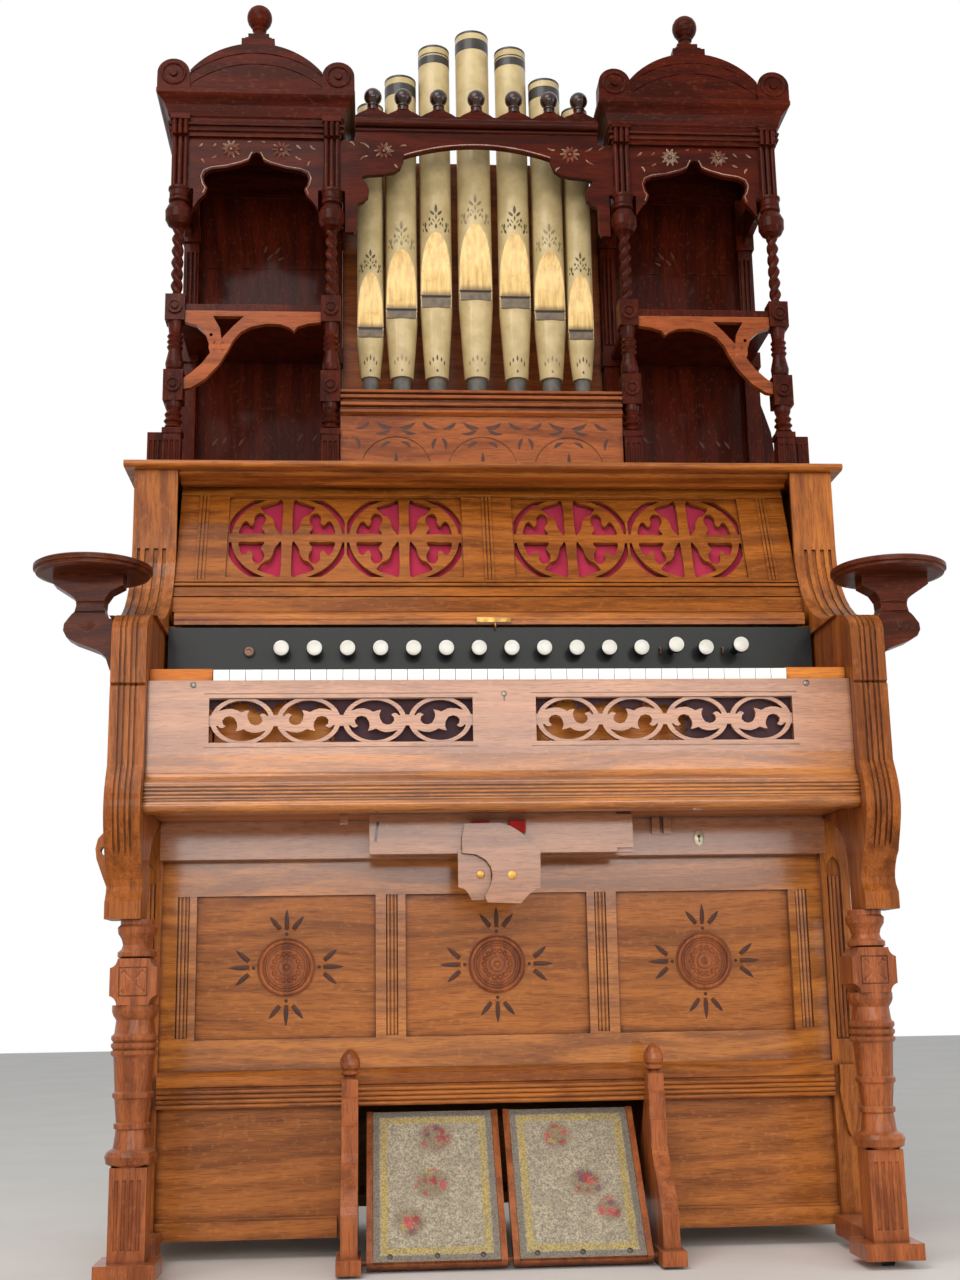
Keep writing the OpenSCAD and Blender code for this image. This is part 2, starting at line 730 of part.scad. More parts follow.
// One pedal, drawn lying along +Y from its hinge rod and then tilted.
module pedal() {
    rail = 9;
    heel = -8;
    from_front() translate([pedal_gap / 2, pedal_y, pedal_pin_z]) rotate([pedal_angle, 0, 0]) {
        color("peru") difference() {
            union() {
                block([0, pedal_w], [heel, pedal_len], [-pedal_half_t, pedal_half_t]);
                block([0, rail], [heel, pedal_len], [pedal_half_t, pedal_half_t + pedal_rim]);
                block([pedal_w - rail, pedal_w], [heel, pedal_len], [pedal_half_t, pedal_half_t + pedal_rim]);
            }
            translate([-1, 0, 0]) rotate([0, 90, 0]) cylinder(r = pedal_pin_r + 0.1, h = pedal_w + 2);
        }
        color("silver") block([rail, pedal_w - rail], [heel + 2, pedal_len], [pedal_half_t, pedal_half_t + 4]);
    }
}

module pedal_left() {
    mirror([1, 0, 0]) pedal();
}

module pedal_right() {
    pedal();
}

// One front column: fluted pilaster, rope shaft, button blocks and balusters.
module column(x) {
    z1 = cornice_z - seat;
    z_cap = cornice_z - 108;
    z_up = shelf_z - 32;
    z_low = shelf_z - 180;
    foot_top = top_z + 96;
    reed = 4.6;
    color("saddlebrown") {
        for (i = [-1, 0, 1]) translate([x + i * 10, column_y - 2, z_cap]) cylinder(r = reed, h = z1 - z_cap);
        block([x - 15, x + 15], [column_y, column_y + 12], [z_cap, z1]);
        turned(x, column_y, [
            [z_cap - 16, 15], [z_cap - 12, 17], [z_cap - 2, 17], [z_cap + 1, 19], [z_cap + 5, 19]
        ]);
        turned(x, column_y, [
            [z_cap - 72, 9], [z_cap - 66, 18], [z_cap - 56, 23], [z_cap - 40, 23.5], [z_cap - 30, 19],
            [z_cap - 24, 14], [z_cap - 21, 18], [z_cap - 16, 18]
        ]);
        translate([x, column_y, z_up + 48])
            linear_extrude(height = z_cap - 70 - z_up - 48, twist = -1080, slices = 42, $fn = 10)
                for (a = [0, 180]) rotate(a) translate([3.8, 0]) circle(r = 7, $fn = 10);
        turned(x, column_y, [
            [z_low + 56, 12], [z_low + 62, 15], [z_low + 72, 16], [z_low + 86, 13], [z_low + 96, 11],
            [z_low + 102, 14], [z_low + 107, 11], [z_low + 112, 14], [z_low + 117, 11], [z_low + 122, 14],
            [z_low + 127, 11], [z_low + 136, 12], [z_low + 148, 14]
        ]);
        for (b = [[z_low, 56], [z_up, 48]]) {
            block([x - 17, x + 17], [column_y - 17, column_y + 17], [b[0], b[0] + b[1]]);
            translate([x, column_y - 16, b[0] + b[1] / 2]) rotate([90, 0, 0]) difference() {
                cylinder(r = 13, h = 5);
                translate([0, 0, 3]) cylinder(r = 9.5, h = 3);
            }
            translate([x, column_y - 16, b[0] + b[1] / 2]) rotate([90, 0, 0]) cylinder(r1 = 7, r2 = 5, h = 6);
        }
        turned(x, column_y, [
            [foot_top, 12], [foot_top + 4, 15], [foot_top + 10, 12], [foot_top + 15, 16], [foot_top + 21, 12],
            [foot_top + 27, 15], [foot_top + 33, 11], [foot_top + 40, 14], [z_low, 15]
        ]);
        block([x - 17, x + 17], [column_y - 15, column_y + 17], [foot_top - 10, foot_top]);
        difference() {
            block([x - 15, x + 15], [column_y - 13, column_y + 15], [top_z, foot_top - 10]);
            for (i = [-1, 0, 1]) translate([x + i * 9, column_y - 14, top_z + 6]) cylinder(r = 3.2, h = 68);
        }
    }
}

module tower_columns() {
    from_front() both_sides() {
        column(inner_x);
        column(outer_x);
        color("saddlebrown") difference() {
            block([outer_x + 15, outer_x + 43], [column_y, column_y + 40], [top_z, top_z + 92]);
            for (i = [0 : 2]) translate([outer_x + 21 + i * 8, column_y - 1, top_z + 6]) cylinder(r = 2.8, h = 72);
        }
    }
}

// The flat post on the back board behind one column, reeded between its two blocks.
module back_post(x) {
    face = back_y - 24;
    z_cap = cornice_z - 108;
    block([x - 14, x + 14], [face, back_y], [top_z, cornice_z - seat]);
    for (z = [shelf_z - 24, z_cap]) block([x - 17, x + 17], [face - 6, back_y], [z, z + 30]);
    for (i = [-1, 0, 1]) translate([x + i * 8, face, shelf_z + 20]) cylinder(r = 3.6, h = z_cap - shelf_z - 40);
}

// Half of the back board's outline on one side, flaring out towards the case top.
module back_outline() {
    edge = outer_x + 15;
    polygon([
        [inner_x - 15, top_z], [edge + 30, top_z], [edge + 30, top_z + 110], [edge + 25, top_z + 150],
        [edge + 22, top_z + 180], [edge + 12, top_z + 214], [edge + 4, top_z + 240], [edge, top_z + 270],
        [edge, cornice_z - seat], [inner_x - 15, cornice_z - seat]
    ]);
}

// Backs, posts, side friezes and shelves of the towers.
module tower_boards() {
    rear = column_y + 17 + seat;
    color("saddlebrown") from_front() both_sides() {
        difference() {
            along_y(back_y, depth - 2) back_outline();
            for (z = [top_z + 60, cornice_z - 150])
                block([inner_x + 20, outer_x - 20], [back_y - 1, back_y + 1.5], [z, z + 2.5]);
        }
        back_post(inner_x);
        back_post(outer_x);
        for (x = [inner_x - 12, outer_x]) along_x(x, x + 12) polygon([
            [rear - 4, cornice_z - 30], [rear - 4, cornice_z - 100], [rear + 8, cornice_z - 102],
            [rear + 8, cornice_z - 146], [rear + 20, cornice_z - 128],
            [rear + 50, cornice_z - 92], [rear + 110, cornice_z - 84], [back_y - 40, cornice_z - 88],
            [back_y - 20, cornice_z - 110], [back_y, cornice_z - 110], [back_y, cornice_z - 30]
        ]);
        block([inner_x, outer_x], [rear, back_y], [shelf_z - 13, shelf_z]);
        block([inner_x + 17 + seat, outer_x - 17 - seat], [column_y - 10, column_y + 30], [shelf_z - 13, shelf_z]);
    }
}

// The pierced bracket under a tower's shelf, drawn for the right tower.
module bracket_shape() {
    rail = shelf_z - 13;
    boss = [outer_x - 76, shelf_z - 80];
    start = inner_x + 17 + seat;
    end = outer_x - 17 - seat;
    difference() {
        union() {
            polygon([
                [start, rail], [end, rail], [end, rail - 10], boss + [-43, 57], boss + [-25, 39],
                boss + [-9, 20], boss + [16, -14], boss + [29, -32], boss + [47, -49], [end, boss[1] - 58],
                [end, boss[1] - 78], boss + [46, -76], boss + [22, -60], boss + [-2, -32], boss + [-16, -7],
                boss + [-25, 12], boss + [-38, 28], boss + [-56, 38], boss + [-82, 44], boss + [-106, 43],
                boss + [-122, 37], boss + [-130, 30], boss + [-136, 39], boss + [-154, 45], [start, boss[1] + 48]
            ]);
            polygon([
                boss + [11, 58], [end, boss[1] + 58], [end, boss[1] + 46], boss + [38, 39], boss + [23, 25],
                boss + [16, 4], boss + [5, -9], boss + [-7, 1], boss + [-2, 34]
            ]);
            translate(boss) circle(r = 17);
        }
        translate([boss[0] + 13, boss[1] + 22]) circle(r = 3, $fn = 16);
    }
}

module tower_brackets() {
    y0 = column_y - 12;
    color("saddlebrown") from_front() both_sides() difference() {
        along_y(y0, y0 + 12) bracket_shape();
        translate([outer_x - 76, y0, shelf_z - 80]) for (a = [45 : 90 : 315]) rotate([0, a, 0])
            translate([0, 0, 12]) rotate([90, 0, 0]) rotate([0, 0, 180]) gouge(10, 6);
    }
}

// The cusped carved board between a tower's columns.
module frieze_shape() {
    z = cornice_z;
    edge = column_gap / 2 - 15;
    half = [
        [0, z - 27], [8, z - 31], [14, z - 44], [26, z - 50], [53, z - 58], [80, z - 62], [90, z - 68], [94, z - 78],
        [91, z - 90], [86, z - 98], [90, z - 110], [102, z - 123], [110, z - 136], [118, z - 150]
    ];
    last = len(half) - 1;
    translate([tower_x, 0]) polygon(concat(
        [[-edge, z], [edge, z], [edge, z - 150]],
        [for (i = [last : -1 : 0]) half[i]],
        [for (p = half) [-p[0], p[1]]],
        [[-edge, z - 150]]
    ));
}

module tower_friezes() {
    y0 = column_y + 2;
    color("saddlebrown") from_front() both_sides() difference() {
        along_y(y0, y0 + 12) frieze_shape();
        for (x = [inner_x, outer_x])
            translate([x, column_y, cornice_z - 182]) cylinder(r = 24 + seat, h = 82);
    }
}

// Cornice profile of a tower roof: distance out from the frieze and height.
cornice_steps = [
    [0, 0], [2, 0], [2, 8], [6, 9], [7, 12], [6, 15], [3, 16], [3, 19], [7, 20], [8, 23], [7, 26], [4, 27],
    [4, 34], [7, 37], [9, 46], [13, 56], [18, 63], [24, 68], [27, 72], [27, 80]
];
roof_top = cornice_z + 80;

// The flared cornice as one block, mitred where its front meets its sides.
module cornice(y0) {
    last = len(cornice_steps) - 1;
    intersection() {
        along_y(200, depth) polygon(concat(
            [for (p = cornice_steps) [roof_half + p[0], cornice_z + p[1]]],
            [for (i = [last : -1 : 0]) [-roof_half - cornice_steps[i][0], cornice_z + cornice_steps[i][1]]]
        ));
        along_x(-300, 300) polygon(concat(
            [for (p = cornice_steps) [y0 - p[0], cornice_z + p[1]]],
            [[depth - 2, roof_top], [depth - 2, cornice_z]]
        ));
    }
}

// Half-width and height of the arch on top of a roof, which stands on the cornice.
arch_half = 118;
arch_h = 56;
valley_h = 39;

// Arched pediment between two round ears, with incised curves on its face.
module pediment(y0) {
    r = (arch_half * arch_half + arch_h * arch_h) / (2 * arch_h);
    ear_x = 147;
    ear_r = 29;
    difference() {
        union() {
            along_y(y0 - 22, y0 + 60) {
                intersection() {
                    translate([0, roof_top + valley_h + arch_h - r]) circle(r = r, $fn = 120);
                    translate([-arch_half, roof_top]) square([2 * arch_half, valley_h + arch_h]);
                }
                translate([-ear_x, roof_top]) square([2 * ear_x, valley_h - 6]);
            }
            for (s = [-1, 1]) along_y(y0 - 26, y0 + 10) {
                translate([s * ear_x, roof_top + 29]) circle(r = ear_r);
                translate([s * ear_x - ear_r, roof_top]) square([2 * ear_r, 24]);
            }
        }
        for (h = [46, 24]) along_y(y0 - 23, y0 - 20.5) difference() {
            translate([0, roof_top + h - r]) circle(r = r + 30, $fn = 120);
            translate([0, roof_top + h - r]) circle(r = r + 27.5, $fn = 120);
            translate([-300, 0]) square([600, roof_top + h - 34]);
            for (s = [-1, 1]) translate([s * 220 - 100, 1700]) square([200, 400]);
        }
    }
    for (s = [-1, 1]) translate([s * ear_x, y0 - 25, roof_top + 29]) rotate([90, 0, 0]) {
        cylinder(r1 = 8, r2 = 6, h = 5);
        rotate_extrude() translate([20, 1]) circle(r = 3, $fn = 16);
    }
}

// The square stepped cap and the ball on the top of a roof.
module finial(y) {
    z = roof_top + valley_h + arch_h;
    translate([0, y, 0]) {
        block([-30, 30], [-30, 30], [z - 16, z + 26]);
        block([-24, 24], [-24, 24], [z + 26, z + 32]);
        block([-19, 19], [-19, 19], [z + 32, z + 43]);
        turned(0, 0, [
            [z + 43, 17], [z + 47, 12], [z + 56, 10], [z + 60, 13], [z + 64, 12], [z + 68, 16], [z + 75, 20.5],
            [z + 82, 22.7], [z + 88, 23], [z + 94, 22], [z + 101, 18.5], [z + 106, 13], [z + 109, 8], [z + 110, 2]
        ]);
    }
}

// Cornice box closed on top, with the pilasters' tops, the pediment and the finial.
module roof() {
    y0 = column_y - 2;
    wall = 12;
    translate([tower_x, 0, 0]) {
        difference() {
            cornice(y0);
            block([-roof_half + wall, roof_half - wall], [y0 + 14, back_y], [cornice_z - 1, roof_top - wall]);
        }
        for (x = [-1, 1], i = [-1, 0, 1])
            translate([x * column_gap / 2 + i * 10, y0 - 8, cornice_z]) cylinder(r = 4.6, h = 30);
        for (x = [-1, 1]) block([x * column_gap / 2 - 17, x * column_gap / 2 + 17], [y0 - 14, y0], [cornice_z + 28, cornice_z + 38]);
        pediment(y0);
        finial(y0 + 32);
    }
}

module tower_roofs() {
    color("saddlebrown") from_front() both_sides() roof();
}

// One half of the board in front of the pipes: arch, cusp and the nose beside the column.
module centre_half_shape() {
    z = cornice_z;
    x1 = inner_x - 15 - seat;
    steps = 8;
    polygon(concat(
        [[-1, z - seat], [-1, z - 7]],
        [for (i = [0 : steps]) [133 * i / steps, z - 7 - 23 * pow(i / steps, 2)]],
        [[135, z - 38], [140, z - 52], [150, z - 60], [170, z - 65], [196, z - 67], [207, z - 70], [209, z - 76],
         [200, z - 86], [196, z - 97], [198, z - 110], [206, z - 119], [216, z - 123], [218, z - 128],
         [218, z - 170], [223, z - 180], [x1, z - 180], [x1, z - seat]]
    ));
}

// The arched frieze in front of the pipes, with a bead along its top.
module centre_frieze() {
    y0 = column_y + 2;
    color("sienna") from_front() {
        difference() {
            union() {
                along_y(y0, y0 + 12) both_sides() centre_half_shape();
                block([-centre_half, centre_half], [y0, y0 + 12], [cornice_z - seat, cornice_z + 45]);
            }
            both_sides() translate([inner_x, column_y, cornice_z - 182]) cylinder(r = 24 + seat, h = 82);
        }
        translate([-centre_half, y0 - 3, cornice_z + 35]) rotate([0, 90, 0]) cylinder(r = 9, h = 2 * centre_half);
        translate([-centre_half, y0, cornice_z + 22]) rotate([0, 90, 0]) cylinder(r = 4, h = 2 * centre_half);
    }
}

crest_x = [0, 69, 134, 189];
// Crest board with seven peaks and a ball on each.
module crest() {
    y0 = column_y + 2;
    z = cornice_z + 45 + seat;
    color("sienna") from_front() both_sides() {
        along_y(y0, y0 + 12) {
            translate([0, z]) square([centre_half, 6]);
            for (x = crest_x) polygon([
                [max(x - 31, 0), z + 6], [max(x - 24, 0), z + 11], [max(x - 12, 0), z + 17], [max(x - 8, 0), z + 24],
                [x + 8, z + 24], [x + 12, z + 17], [min(x + 24, centre_half), z + 11], [min(x + 31, centre_half), z + 6]
            ]);
        }
        for (x = crest_x) {
            translate([x, y0 + 6, z + 46]) sphere(r = 16);
            translate([x, y0 + 6, z + 20]) cylinder(r = 8, h = 16);
        }
    }
}

// The moulded board on which the pipes stand, with the panel below it and the back.
module pipe_rack() {
    x1 = inner_x - 17 - seat;
    x2 = inner_x - 15 - seat;
    y0 = column_y - 4;
    z = rack_z;
    arch_r = 62;
    color("saddlebrown") from_front() {
        block([-x1, x1], [y0 + 12, back_y], [z - 14, z]);
        difference() {
            block([-x1, x1], [y0, y0 + 12], [top_z, z - 44]);
            for (i = [-1 : 1]) along_y(y0 - 1, y0 + 1.5) difference() {
                translate([i * 150, top_z + 24]) circle(r = arch_r);
                translate([i * 150, top_z + 24]) circle(r = arch_r - 3);
                translate([i * 150 - arch_r - 1, top_z]) square([2 * arch_r + 2, 24]);
            }
        }
        along_x(-x1, x1) polygon([
            [y0 + 12, z - 44], [y0 - 2, z - 44], [y0 - 8, z - 39], [y0 - 8, z - 35], [y0 - 2, z - 33], [y0 - 2, z - 29],
            [y0 - 10, z - 27], [y0 - 10, z - 22], [y0 - 4, z - 20], [y0 - 4, z - 16], [y0 - 12, z - 14], [y0 - 12, z - 9],
            [y0 - 6, z - 7], [y0 - 12, z - 4], [y0 - 12, z], [y0 + 12, z]
        ]);
        block([-x2, x2], [back_y, depth - 2], [top_z, cornice_z - seat]);
        block([-centre_half, centre_half], [back_y, depth - 2], [cornice_z - seat, roof_top]);
    }
}

// One display pipe: body with a flattened mouth, lip, tapered foot and toe.
module pipe(r, top, mouth, rise, lip) {
    foot_r = r * 0.72;
    toe = rack_z + 68;
    difference() {
        translate([0, 0, mouth]) cylinder(r = r, h = top - mouth);
        translate([0, -r * 0.55, mouth - 1]) rotate([atan(r * 0.46 / rise), 0, 0])
            translate([-r - 5, -3 * r, -40]) cube([2 * r + 10, 3 * r, rise + 80]);
        translate([0, 0, top - 30]) cylinder(r = r - 2.5, h = 31);
    }
    difference() {
        translate([0, 0, lip]) cylinder(r = r, h = mouth - lip);
        translate([-r, -2 * r, lip + 10]) cube([2 * r, 1.35 * r, mouth - lip]);
    }
    translate([0, 0, toe]) cylinder(r1 = foot_r, r2 = r, h = lip - toe);
    translate([0, 0, rack_z]) cylinder(r1 = foot_r * 0.7, r2 = foot_r * 0.78, h = 68);
}

module pipes() {
    color("wheat") from_front() {
        translate([0, pipe_y, 0]) pipe(pipe_radii[0], pipe_tops[0], mouth_z[0], mouth_h[0], lip_z[0]);
        both_sides() for (i = [1 : 3]) translate([pipe_x[i], pipe_y, 0])
            pipe(pipe_radii[i], pipe_tops[i], mouth_z[i], mouth_h[i], lip_z[i]);
    }
}

case_sides();
case_back();
case_floor();
front_frame();
front_panels();
front_rosettes();
lower_moulding();
base_panels();
pedal_well();
leg_strips();
knee_board();
knee_lever();
key_bed();
front_moulding();
key_slip();
slip_frets();
slip_cloth();
key_frame();
naturals();
sharps();
stop_board();
fallboard();
cheeks();
consoles();
legs();
leg_feet();
casters();
lamp_stands();
case_top();
music_desk();
desk_frets();
desk_cloth();
pedal_posts();
pedal_left();
pedal_right();
tower_columns();
tower_boards();
tower_brackets();
tower_friezes();
tower_roofs();
centre_frieze();
crest();
pipe_rack();
pipes();
stop_knob(0);  // knob_01
stop_knob(1);  // knob_02
stop_knob(2);  // knob_03
stop_knob(3);  // knob_04
stop_knob(4);  // knob_05
stop_knob(5);  // knob_06
stop_knob(6);  // knob_07
stop_knob(7);  // knob_08
stop_knob(8);  // knob_09
stop_knob(9);  // knob_10
stop_knob(10);  // knob_11
stop_knob(11);  // knob_12
stop_knob(12, 20);  // knob_13
stop_knob(13);  // knob_14
stop_knob(14, 20);  // knob_15
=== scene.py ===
"""Dresses the parlour reed organ with its high top of display pipes.

Lengths below are in millimetres, measured as on the bench: X to the right from the middle of the case,
Y back from the fronts of the cheeks, Z up from the floor.
"""

from __future__ import annotations

import logging
import math
from collections.abc import Callable, Iterable, Sequence
from dataclasses import dataclass
from enum import Enum
from random import Random
from typing import ClassVar

import bmesh
import bpy
from mathutils import Matrix, Vector


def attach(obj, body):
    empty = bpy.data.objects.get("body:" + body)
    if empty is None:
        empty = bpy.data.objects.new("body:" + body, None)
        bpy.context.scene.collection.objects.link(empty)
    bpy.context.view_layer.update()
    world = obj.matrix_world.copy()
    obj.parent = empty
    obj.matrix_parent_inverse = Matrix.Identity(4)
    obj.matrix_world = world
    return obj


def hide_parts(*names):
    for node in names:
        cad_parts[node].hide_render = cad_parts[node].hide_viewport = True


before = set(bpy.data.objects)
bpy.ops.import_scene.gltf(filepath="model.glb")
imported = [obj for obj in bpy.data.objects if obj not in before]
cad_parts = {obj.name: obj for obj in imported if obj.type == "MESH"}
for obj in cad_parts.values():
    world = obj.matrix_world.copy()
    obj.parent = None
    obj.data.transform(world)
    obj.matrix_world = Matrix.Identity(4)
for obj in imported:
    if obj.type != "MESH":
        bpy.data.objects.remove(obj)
log = logging.getLogger("organ")

Tint = tuple[int, int, int]
Colour = tuple[float, float, float, float]
Point = tuple[float, float, float]
Socket = bpy.types.NodeSocket
MID_Y = 290.0
FRONT = Vector((0, -1, 0))
UP = Vector((0, 0, 1))


def at(x: float, y: float, z: float) -> Vector:
    """Returns a bench point in the row frame, in metres."""
    return Vector((x / 1000, (y - MID_Y) / 1000, z / 1000))


def shade(red: int, green: int, blue: int) -> Colour:
    """Returns a given colour, each part from 0 to 255, as the shader's linear values."""
    linear = [c / 255 / 12.92 if c < 11 else ((c / 255 + 0.055) / 1.055) ** 2.4 for c in (red, green, blue)]
    return (linear[0], linear[1], linear[2], 1.0)


def turns(segments: int) -> list[float]:
    """Returns the angles of a ring's points."""
    return [math.tau * k / segments for k in range(segments)]


class Run(Enum):
    """The direction in which a board's grain runs, as the stretch of its figure."""

    ACROSS = (2.6, 46.0, 46.0)
    UPRIGHT = (46.0, 46.0, 2.6)


class Side(Enum):
    """The two halves of the case."""

    LEFT = -1
    RIGHT = 1


class Bench:
    """Adds nodes to one shader tree and joins them."""

    def __init__(self, tree: bpy.types.NodeTree) -> None:
        """Keeps the tree that the nodes go into."""
        self.tree = tree

    def fill(self, node: bpy.types.Node, inputs: dict) -> bpy.types.Node:
        """Links or sets a node's inputs.

        Args:
            node: The node.
            inputs: Sockets to link or values to set, by the input's name or number.

        Returns:
            The same node.
        """
        for name, value in inputs.items():
            if isinstance(value, Socket):
                self.tree.links.new(value, node.inputs[name])
            else:
                node.inputs[name].default_value = value
        return node

    def put(self, kind: str, inputs: dict | None = None, **settings: object) -> bpy.types.Node:
        """Adds a node.

        Args:
            kind: The node's type without its ShaderNode prefix.
            inputs: Values or sockets for the node's inputs, by name or number.
            **settings: Values for the node's own settings.

        Returns:
            The new node.
        """
        node = self.tree.nodes.new("ShaderNode" + kind)
        for name, value in settings.items():
            setattr(node, name, value)
        return self.fill(node, inputs or {})

    def place(self, kind: str = "Object") -> Socket:
        """Returns the surface's coordinates of the given kind."""
        return self.put("TexCoord").outputs[kind]

    def mix(self, factor: object, first: object, second: object, blend: str = "MIX") -> Socket:
        """Returns the mix of two colours by a factor, with the given blend."""
        node = self.put("Mix", {0: factor, 6: first, 7: second}, data_type="RGBA", blend_type=blend)
        return node.outputs[2]

    def maths(self, operation: str, *values: object) -> Socket:
        """Returns the result of a maths node on up to three values."""
        return self.put("Math", dict(enumerate(values)), operation=operation).outputs[0]

    def vector(self, operation: str, *values: object, result: str = "Vector") -> Socket:
        """Returns the named result of a vector maths node on up to three values."""
        return self.put("VectorMath", dict(enumerate(values)), operation=operation).outputs[result]

    def between(self, value: object, low: float, high: float, start: float = 0.0, end: float = 1.0) -> Socket:
        """Returns a value mapped smoothly from low to high onto start to end."""
        inputs = {0: value, 1: low, 2: high, 3: start, 4: end}
        return self.put("MapRange", inputs, interpolation_type="SMOOTHSTEP", clamp=True).outputs[0]

    def noise(
        self, vector: object, scale: float, detail: float = 2.0, rough: float = 0.5, out: int = 0
    ) -> Socket:
        """Returns noise over the given coordinates: a value, or with out at 1 a colour."""
        inputs = {"Vector": vector, "Scale": scale, "Detail": detail, "Roughness": rough}
        return self.put("TexNoise", inputs).outputs[out]

    def bump(self, strength: float, distance: float, height: Socket, normal: Socket | None = None) -> Socket:
        """Returns a normal bent by a height, over another normal where one is given."""
        inputs = {"Strength": strength, "Distance": distance, "Height": height}
        return self.put("Bump", inputs | ({"Normal": normal} if normal else {})).outputs[0]

    def shared(self, tree: bpy.types.NodeTree, **inputs: object) -> dict[str, Socket]:
        """Places a shared effect with the given inputs and returns its outputs by name."""
        return dict(self.put("Group", inputs, node_tree=tree).outputs.items())


class EffectKit:
    """The shader effects that several finishes share, each built once as a node group."""

    def __init__(self) -> None:
        """Builds the groups."""
        self.grain = self.make_grain()
        self.wear_and_shade = self.make_wear_and_shade()
        self.weave = self.make_weave()
        self.dust = self.make_dust()

    @staticmethod
    def group(
        name: str, inputs: dict[str, str], outputs: dict[str, str]
    ) -> tuple[Bench, dict, bpy.types.Node]:
        """Starts a node group with named sockets.

        Args:
            name: The group's name.
            inputs: Socket kinds by name that go in.
            outputs: Socket kinds by name that come out.

        Returns:
            A bench on the group, the input sockets by name and the node that takes the outputs.
        """
        tree = bpy.data.node_groups.new(name, "ShaderNodeTree")
        for direction, sockets in (("INPUT", inputs), ("OUTPUT", outputs)):
            for label, kind in sockets.items():
                tree.interface.new_socket(name=label, in_out=direction, socket_type="NodeSocket" + kind)
        entry = tree.nodes.new("NodeGroupInput")
        return Bench(tree), dict(entry.outputs.items()), tree.nodes.new("NodeGroupOutput")

    def make_grain(self) -> bpy.types.NodeTree:
        """Returns quarter-sawn figure: long streaks, pale ray flecks and fine pores.

        Returns:
            The node group.
        """
        bench, given, leave = self.group(
            "quarter sawn grain",
            {"Stretch": "Vector", "Dark": "Color", "Light": "Color", "Rays": "Float", "Streaks": "Float"},
            {"Color": "Color", "Height": "Float", "Roughness": "Float"},
        )
        place = bench.place()
        along = bench.vector("MULTIPLY", place, given["Stretch"])
        bent = bench.vector("MULTIPLY_ADD", bench.noise(place, 3.0, 1.0, out=1), (2.4, 2.4, 2.4), along)
        streak = bench.noise(bent, 1.0, 4.0, 0.62)
        broad = bench.maths("SUBTRACT", bench.noise(place, 2.2), 0.5)
        tone = bench.maths("MULTIPLY_ADD", broad, 0.9, bench.between(streak, 0.34, 0.66))
        tone = bench.maths("MULTIPLY_ADD", bench.maths("SUBTRACT", tone, 0.5), given["Streaks"], 0.5)
        colour = bench.mix(bench.put("Clamp", {0: tone}).outputs[0], given["Dark"], given["Light"])
        flecked = bench.vector("MULTIPLY", bent, (1.7, 1.7, 1.7))
        flecked = bench.vector("MULTIPLY_ADD", place, (130.0, 130.0, 130.0), flecked)
        fleck = bench.noise(flecked, 0.75, 1.5, 0.4)
        mask = bench.maths("MULTIPLY", bench.between(fleck, 0.6, 0.68), given["Rays"])
        colour = bench.mix(mask, colour, bench.mix(0.16, given["Light"], shade(255, 206, 140)))
        fine = bench.vector("MULTIPLY", along, (14.0, 14.0, 14.0))
        pore = bench.between(bench.noise(fine, 1.0), 0.36, 0.5)
        dark = bench.maths("MULTIPLY", bench.maths("SUBTRACT", 1.0, pore), 0.35)
        bench.fill(leave, {
            "Color": bench.mix(dark, colour, given["Dark"], "MULTIPLY"),
            "Height": bench.maths("MULTIPLY_ADD", streak, 0.4, pore),
            "Roughness": bench.maths("MULTIPLY_ADD", bench.noise(place, 9.0, 3.0), 0.22, 0.16),
        })
        return bench.tree

    def make_wear_and_shade(self) -> bpy.types.NodeTree:
        """Returns rubbed edges, and old wax with painted shade darkening the hollows found by ambient
        occlusion.

        Returns:
            The node group.
        """
        bench, given, leave = self.group(
            "rubbed edges, old wax and painted shade",
            {"Color": "Color", "Edge": "Color", "Wax": "Color", "Rub": "Float", "Fill": "Float"},
            {"Color": "Color", "Normal": "Vector", "Mask": "Float"},
        )
        soft = bench.put("Bevel", {"Radius": 0.0012}, samples=4).outputs[0]
        flat = bench.put("NewGeometry").outputs["Normal"]
        facing = bench.vector("DOT_PRODUCT", soft, flat, result="Value")
        edge = bench.between(bench.maths("SUBTRACT", 1.0, facing), 0.02, 0.25)
        patchy = bench.between(bench.noise(bench.place(), 38.0, 3.0), 0.4, 0.62)
        mask = bench.maths("MULTIPLY", bench.maths("MULTIPLY", edge, patchy), given["Rub"])
        # Old wax and painted shade: the colour is darkened in hollows, where ambient occlusion finds shade.
        hollow = bench.put("AmbientOcclusion", {"Distance": 0.012}, samples=4).outputs["AO"]
        wax_and_shade_amount = bench.maths("MULTIPLY", bench.between(hollow, 0.25, 0.85, 1.0, 0.0), given["Fill"])
        waxed_and_shaded = bench.mix(wax_and_shade_amount, given["Color"], given["Wax"], "MULTIPLY")
        bench.fill(leave, {"Color": bench.mix(mask, waxed_and_shaded, given["Edge"]), "Normal": soft, "Mask": mask})
        return bench.tree

    def make_weave(self) -> bpy.types.NodeTree:
        """Returns a plain weave of crossing threads with slubs, with painted shade in the gaps between
        threads.

        Returns:
            The node group.
        """
        bench, given, leave = self.group(
            "plain weave", {"Threads": "Float", "Low": "Color", "High": "Color"},
            {"Color": "Color", "Height": "Float"},
        )
        place = bench.place("UV")
        parts = bench.put("SeparateXYZ", {0: place}).outputs
        waves = []
        for axis in (0, 1):
            turn = bench.maths("MULTIPLY", parts[axis], bench.maths("MULTIPLY", given["Threads"], math.tau))
            waves.append(bench.maths("ABSOLUTE", bench.maths("SINE", turn)))
        height = bench.maths("MULTIPLY", *waves)
        slub = bench.noise(bench.vector("MULTIPLY", place, (12.0, 90.0, 1.0)), 4.0, 3.0)
        # Painted shade: the colour follows the threads' height, so crests are lighter and gaps darker; slubs
        # add real tone.
        tone = bench.maths("MULTIPLY_ADD", height, 0.45, bench.maths("MULTIPLY", slub, 0.6))
        bench.fill(leave, {"Color": bench.mix(tone, given["Low"], given["High"]), "Height": height})
        return bench.tree

